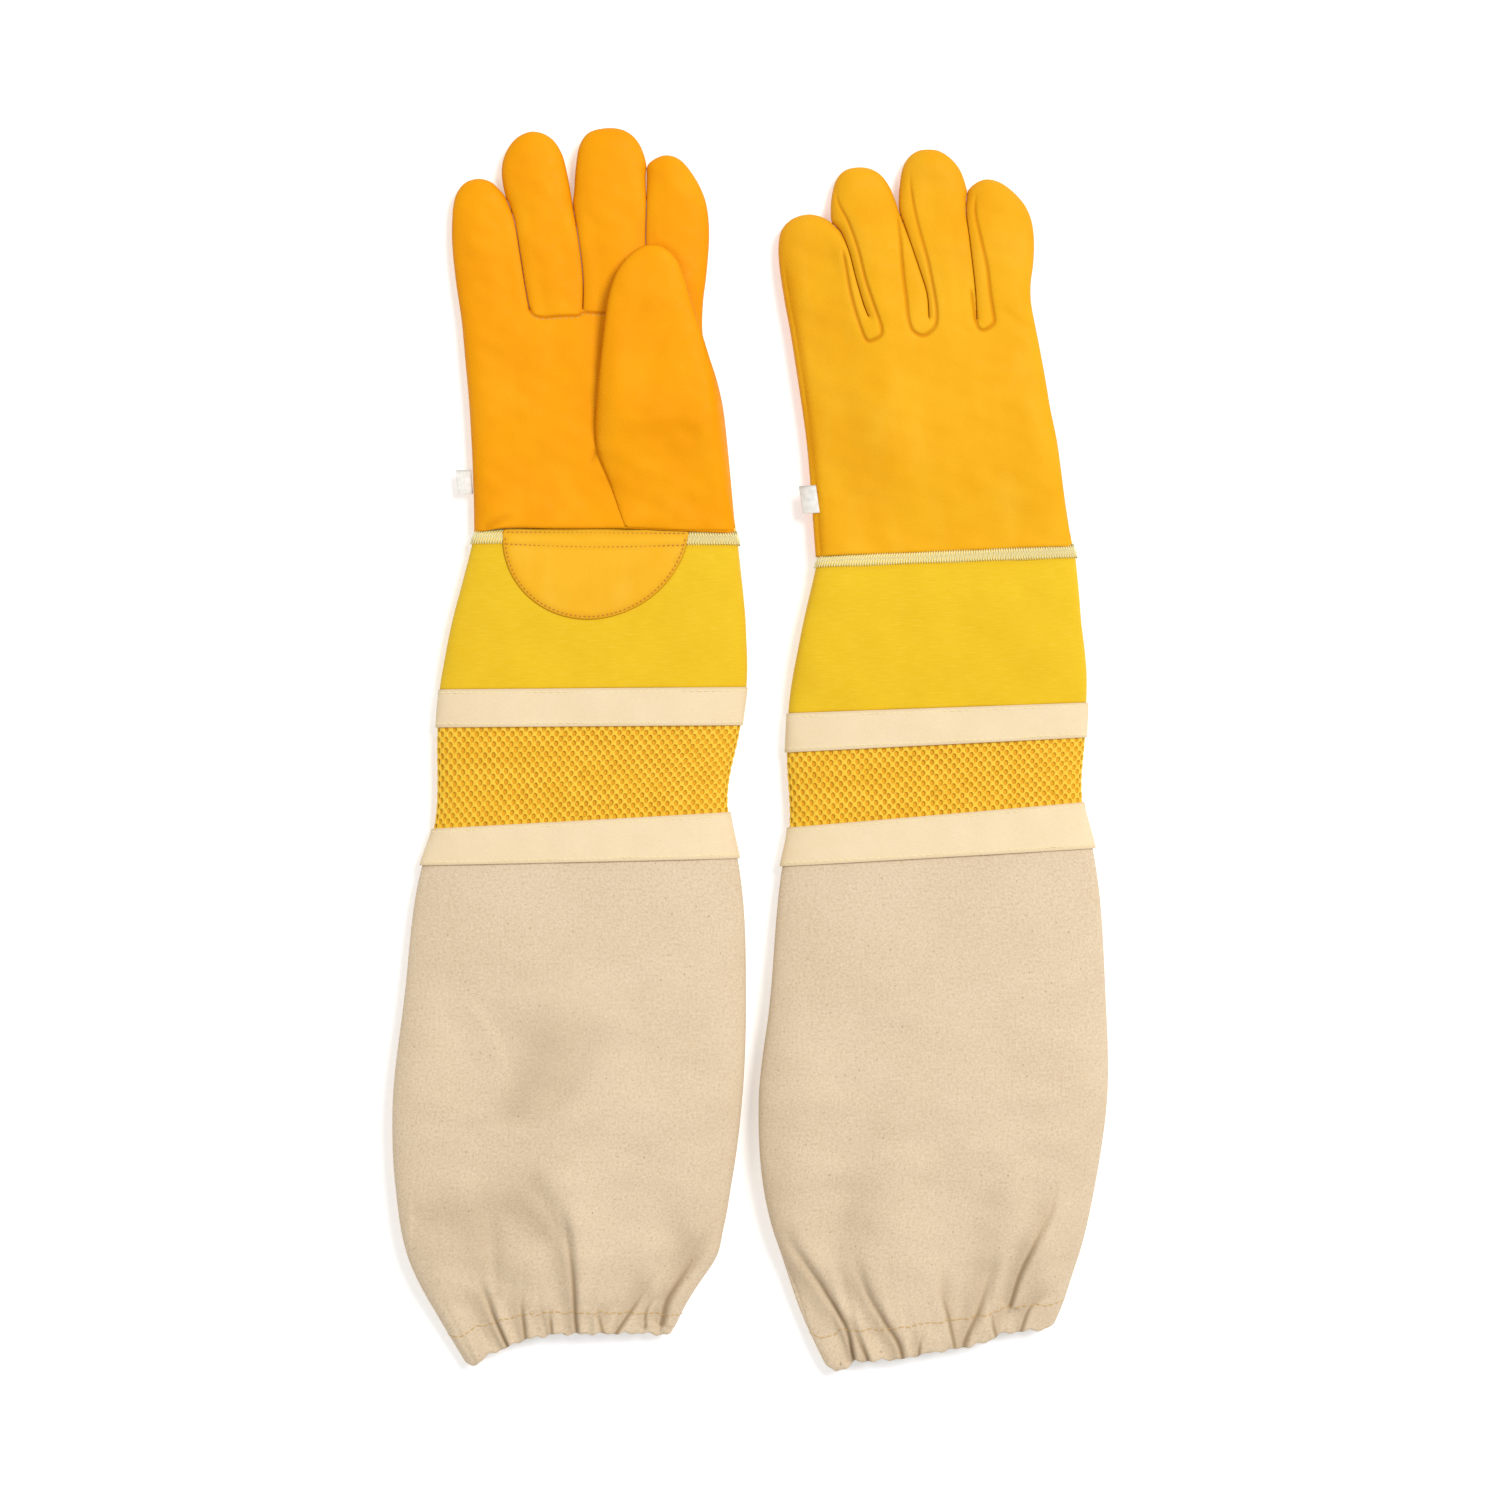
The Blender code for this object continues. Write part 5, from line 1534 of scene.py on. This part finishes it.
def size_tag(glove):
    """A blank label folded over and sewn into the side seam."""
    side = glove.side
    outer, root, start, end = TAG_PLACES[side]
    low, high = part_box(f"{side}_size_tag")
    level = (low[2] + high[2]) / 2.0 / MM if glove.palm_up else 11.0
    half, thick = 0.28, 0.16
    fold = outer + 0.3
    share = np.linspace(0.0, 1.0, 9)
    angle = np.linspace(math.pi / 2.0, -math.pi / 2.0, 7)[1:-1]
    run = root + (fold - root) * share
    profile = np.concatenate((
        np.column_stack((run, half + 0.9 * share * (1.0 - share))),
        np.column_stack((fold - 0.3 * np.cos(angle), half * np.sin(angle))),
        np.column_stack((run, -half + 0.5 * share * (1.0 - share)))[::-1],
    ))
    tangent = np.gradient(profile, axis=0)
    tangent /= np.linalg.norm(tangent, axis=1)[:, None]
    inward = np.column_stack((tangent[:, 1], -tangent[:, 0]))
    loop = np.concatenate((profile, (profile - inward * thick)[::-1]))
    y = np.linspace(start, end, 9)[:, None]
    away = (root - loop[:, 0]) / (root - outer)
    curl = 0.5 * np.sin((y - 18.0) * 0.31) - (0.0 if glove.palm_up else 2.6)
    x, y, height = np.broadcast_arrays(loop[:, 0], y, level + loop[:, 1] + curl * away**2)
    places = np.stack((x + loop[:, 1], y), axis=-1).reshape(-1, 2)
    world = glove.hand_points(x.ravel(), y.ravel(), np.zeros(x.size))
    world[:, 2] = np.maximum(height.ravel(), 0.05)

    number = np.arange(x.size).reshape(x.shape)
    following = np.roll(number, -1, axis=1)
    faces = np.stack((number[:-1], following[:-1], following[1:], number[1:]), axis=-1).reshape(-1, 4)
    for row, order in ((number[0], 1), (number[-1], -1)):
        back = row[::-1]
        sides = len(row) // 2
        end_faces = np.column_stack((row[:sides - 1], row[1:sides], back[1:sides], back[:sides - 1]))
        faces = np.concatenate((faces, end_faces[:, ::order]))
    piece = make_piece(f"{side}_size_tag_label", world, faces, places, LABEL)
    dress(piece, f"{side}_hand", [f"{side}_size_tag"])


# ---------------------------------------------------------------- put it together

for side in SIDES:
    glove = GLOVES[side]
    net, palm = build_hand(glove)
    build_thumb(glove, net, palm)
    for build in (cotton_cuff, wrist_overlock, tapes, canvas_sleeve, mesh_band, patch, size_tag):
        build(glove)
    hand_seam_stitches(glove, net, palm)

# ---------------------------------------------------------------- floor, light and camera

FLOOR_HALF = 4.0
WHITE = (1.0, 1.0, 1.0, 1.0)

floor_mesh = bpy.data.meshes.new("studio_floor")
corners = ((-1, -1), (1, -1), (1, 1), (-1, 1))
floor_mesh.from_pydata([(FLOOR_HALF * x, FLOOR_HALF * y, 0.0) for x, y in corners], [], [(0, 1, 2, 3)])
floor_finish = bpy.data.materials.new("studio_floor")
floor_finish.use_nodes = True
floor_shader = floor_finish.node_tree.nodes["Principled BSDF"]
floor_shader.inputs["Base Color"].default_value = (0.93, 0.93, 0.93, 1.0)
floor_shader.inputs["Emission Color"].default_value = WHITE
floor_shader.inputs["Emission Strength"].default_value = 0.3
floor_shader.inputs["Roughness"].default_value = 0.9
floor_shader.inputs["Specular IOR Level"].default_value = 0.1
floor = add_object("studio_floor", floor_mesh, floor_finish)

scene = bpy.context.scene
scene.view_settings.view_transform = "Standard"
scene.view_settings.look = "None"
world = bpy.data.worlds.new("studio")
world.use_nodes = True
world.node_tree.nodes["Background"].inputs["Color"].default_value = WHITE
world.node_tree.nodes["Background"].inputs["Strength"].default_value = 0.5
scene.world = world


def area_light(name, place, size, power):
    light = bpy.data.lights.new(name, "AREA")
    light.shape = "DISK"
    light.size = size
    light.energy = power
    made = bpy.data.objects.new(name, light)
    made.location = place
    made.rotation_mode = "QUATERNION"
    made.rotation_quaternion = (-Vector(place)).to_track_quat("-Z", "Y")
    scene.collection.objects.link(made)


area_light("key_light", (1.9, 1.5, 3.6), 1.8, 132.0)
area_light("fill_light", (-2.2, -0.4, 3.6), 2.0, 24.0)

CAMERA_LENS = 110.0
SENSOR_WIDTH = 36.0
FRAME_WIDTH = 0.63
AIM_HEIGHT = 0.012  # the level at which the picture is FRAME_WIDTH wide
AIM_Y = -0.00126
camera_data = bpy.data.cameras.new("camera")
camera_data.lens = CAMERA_LENS
camera_data.sensor_width = SENSOR_WIDTH
camera_data.clip_end = 50.0
camera = bpy.data.objects.new("camera", camera_data)
camera.location = (0.0, AIM_Y, FRAME_WIDTH * CAMERA_LENS / SENSOR_WIDTH + AIM_HEIGHT)
scene.collection.objects.link(camera)
scene.camera = camera
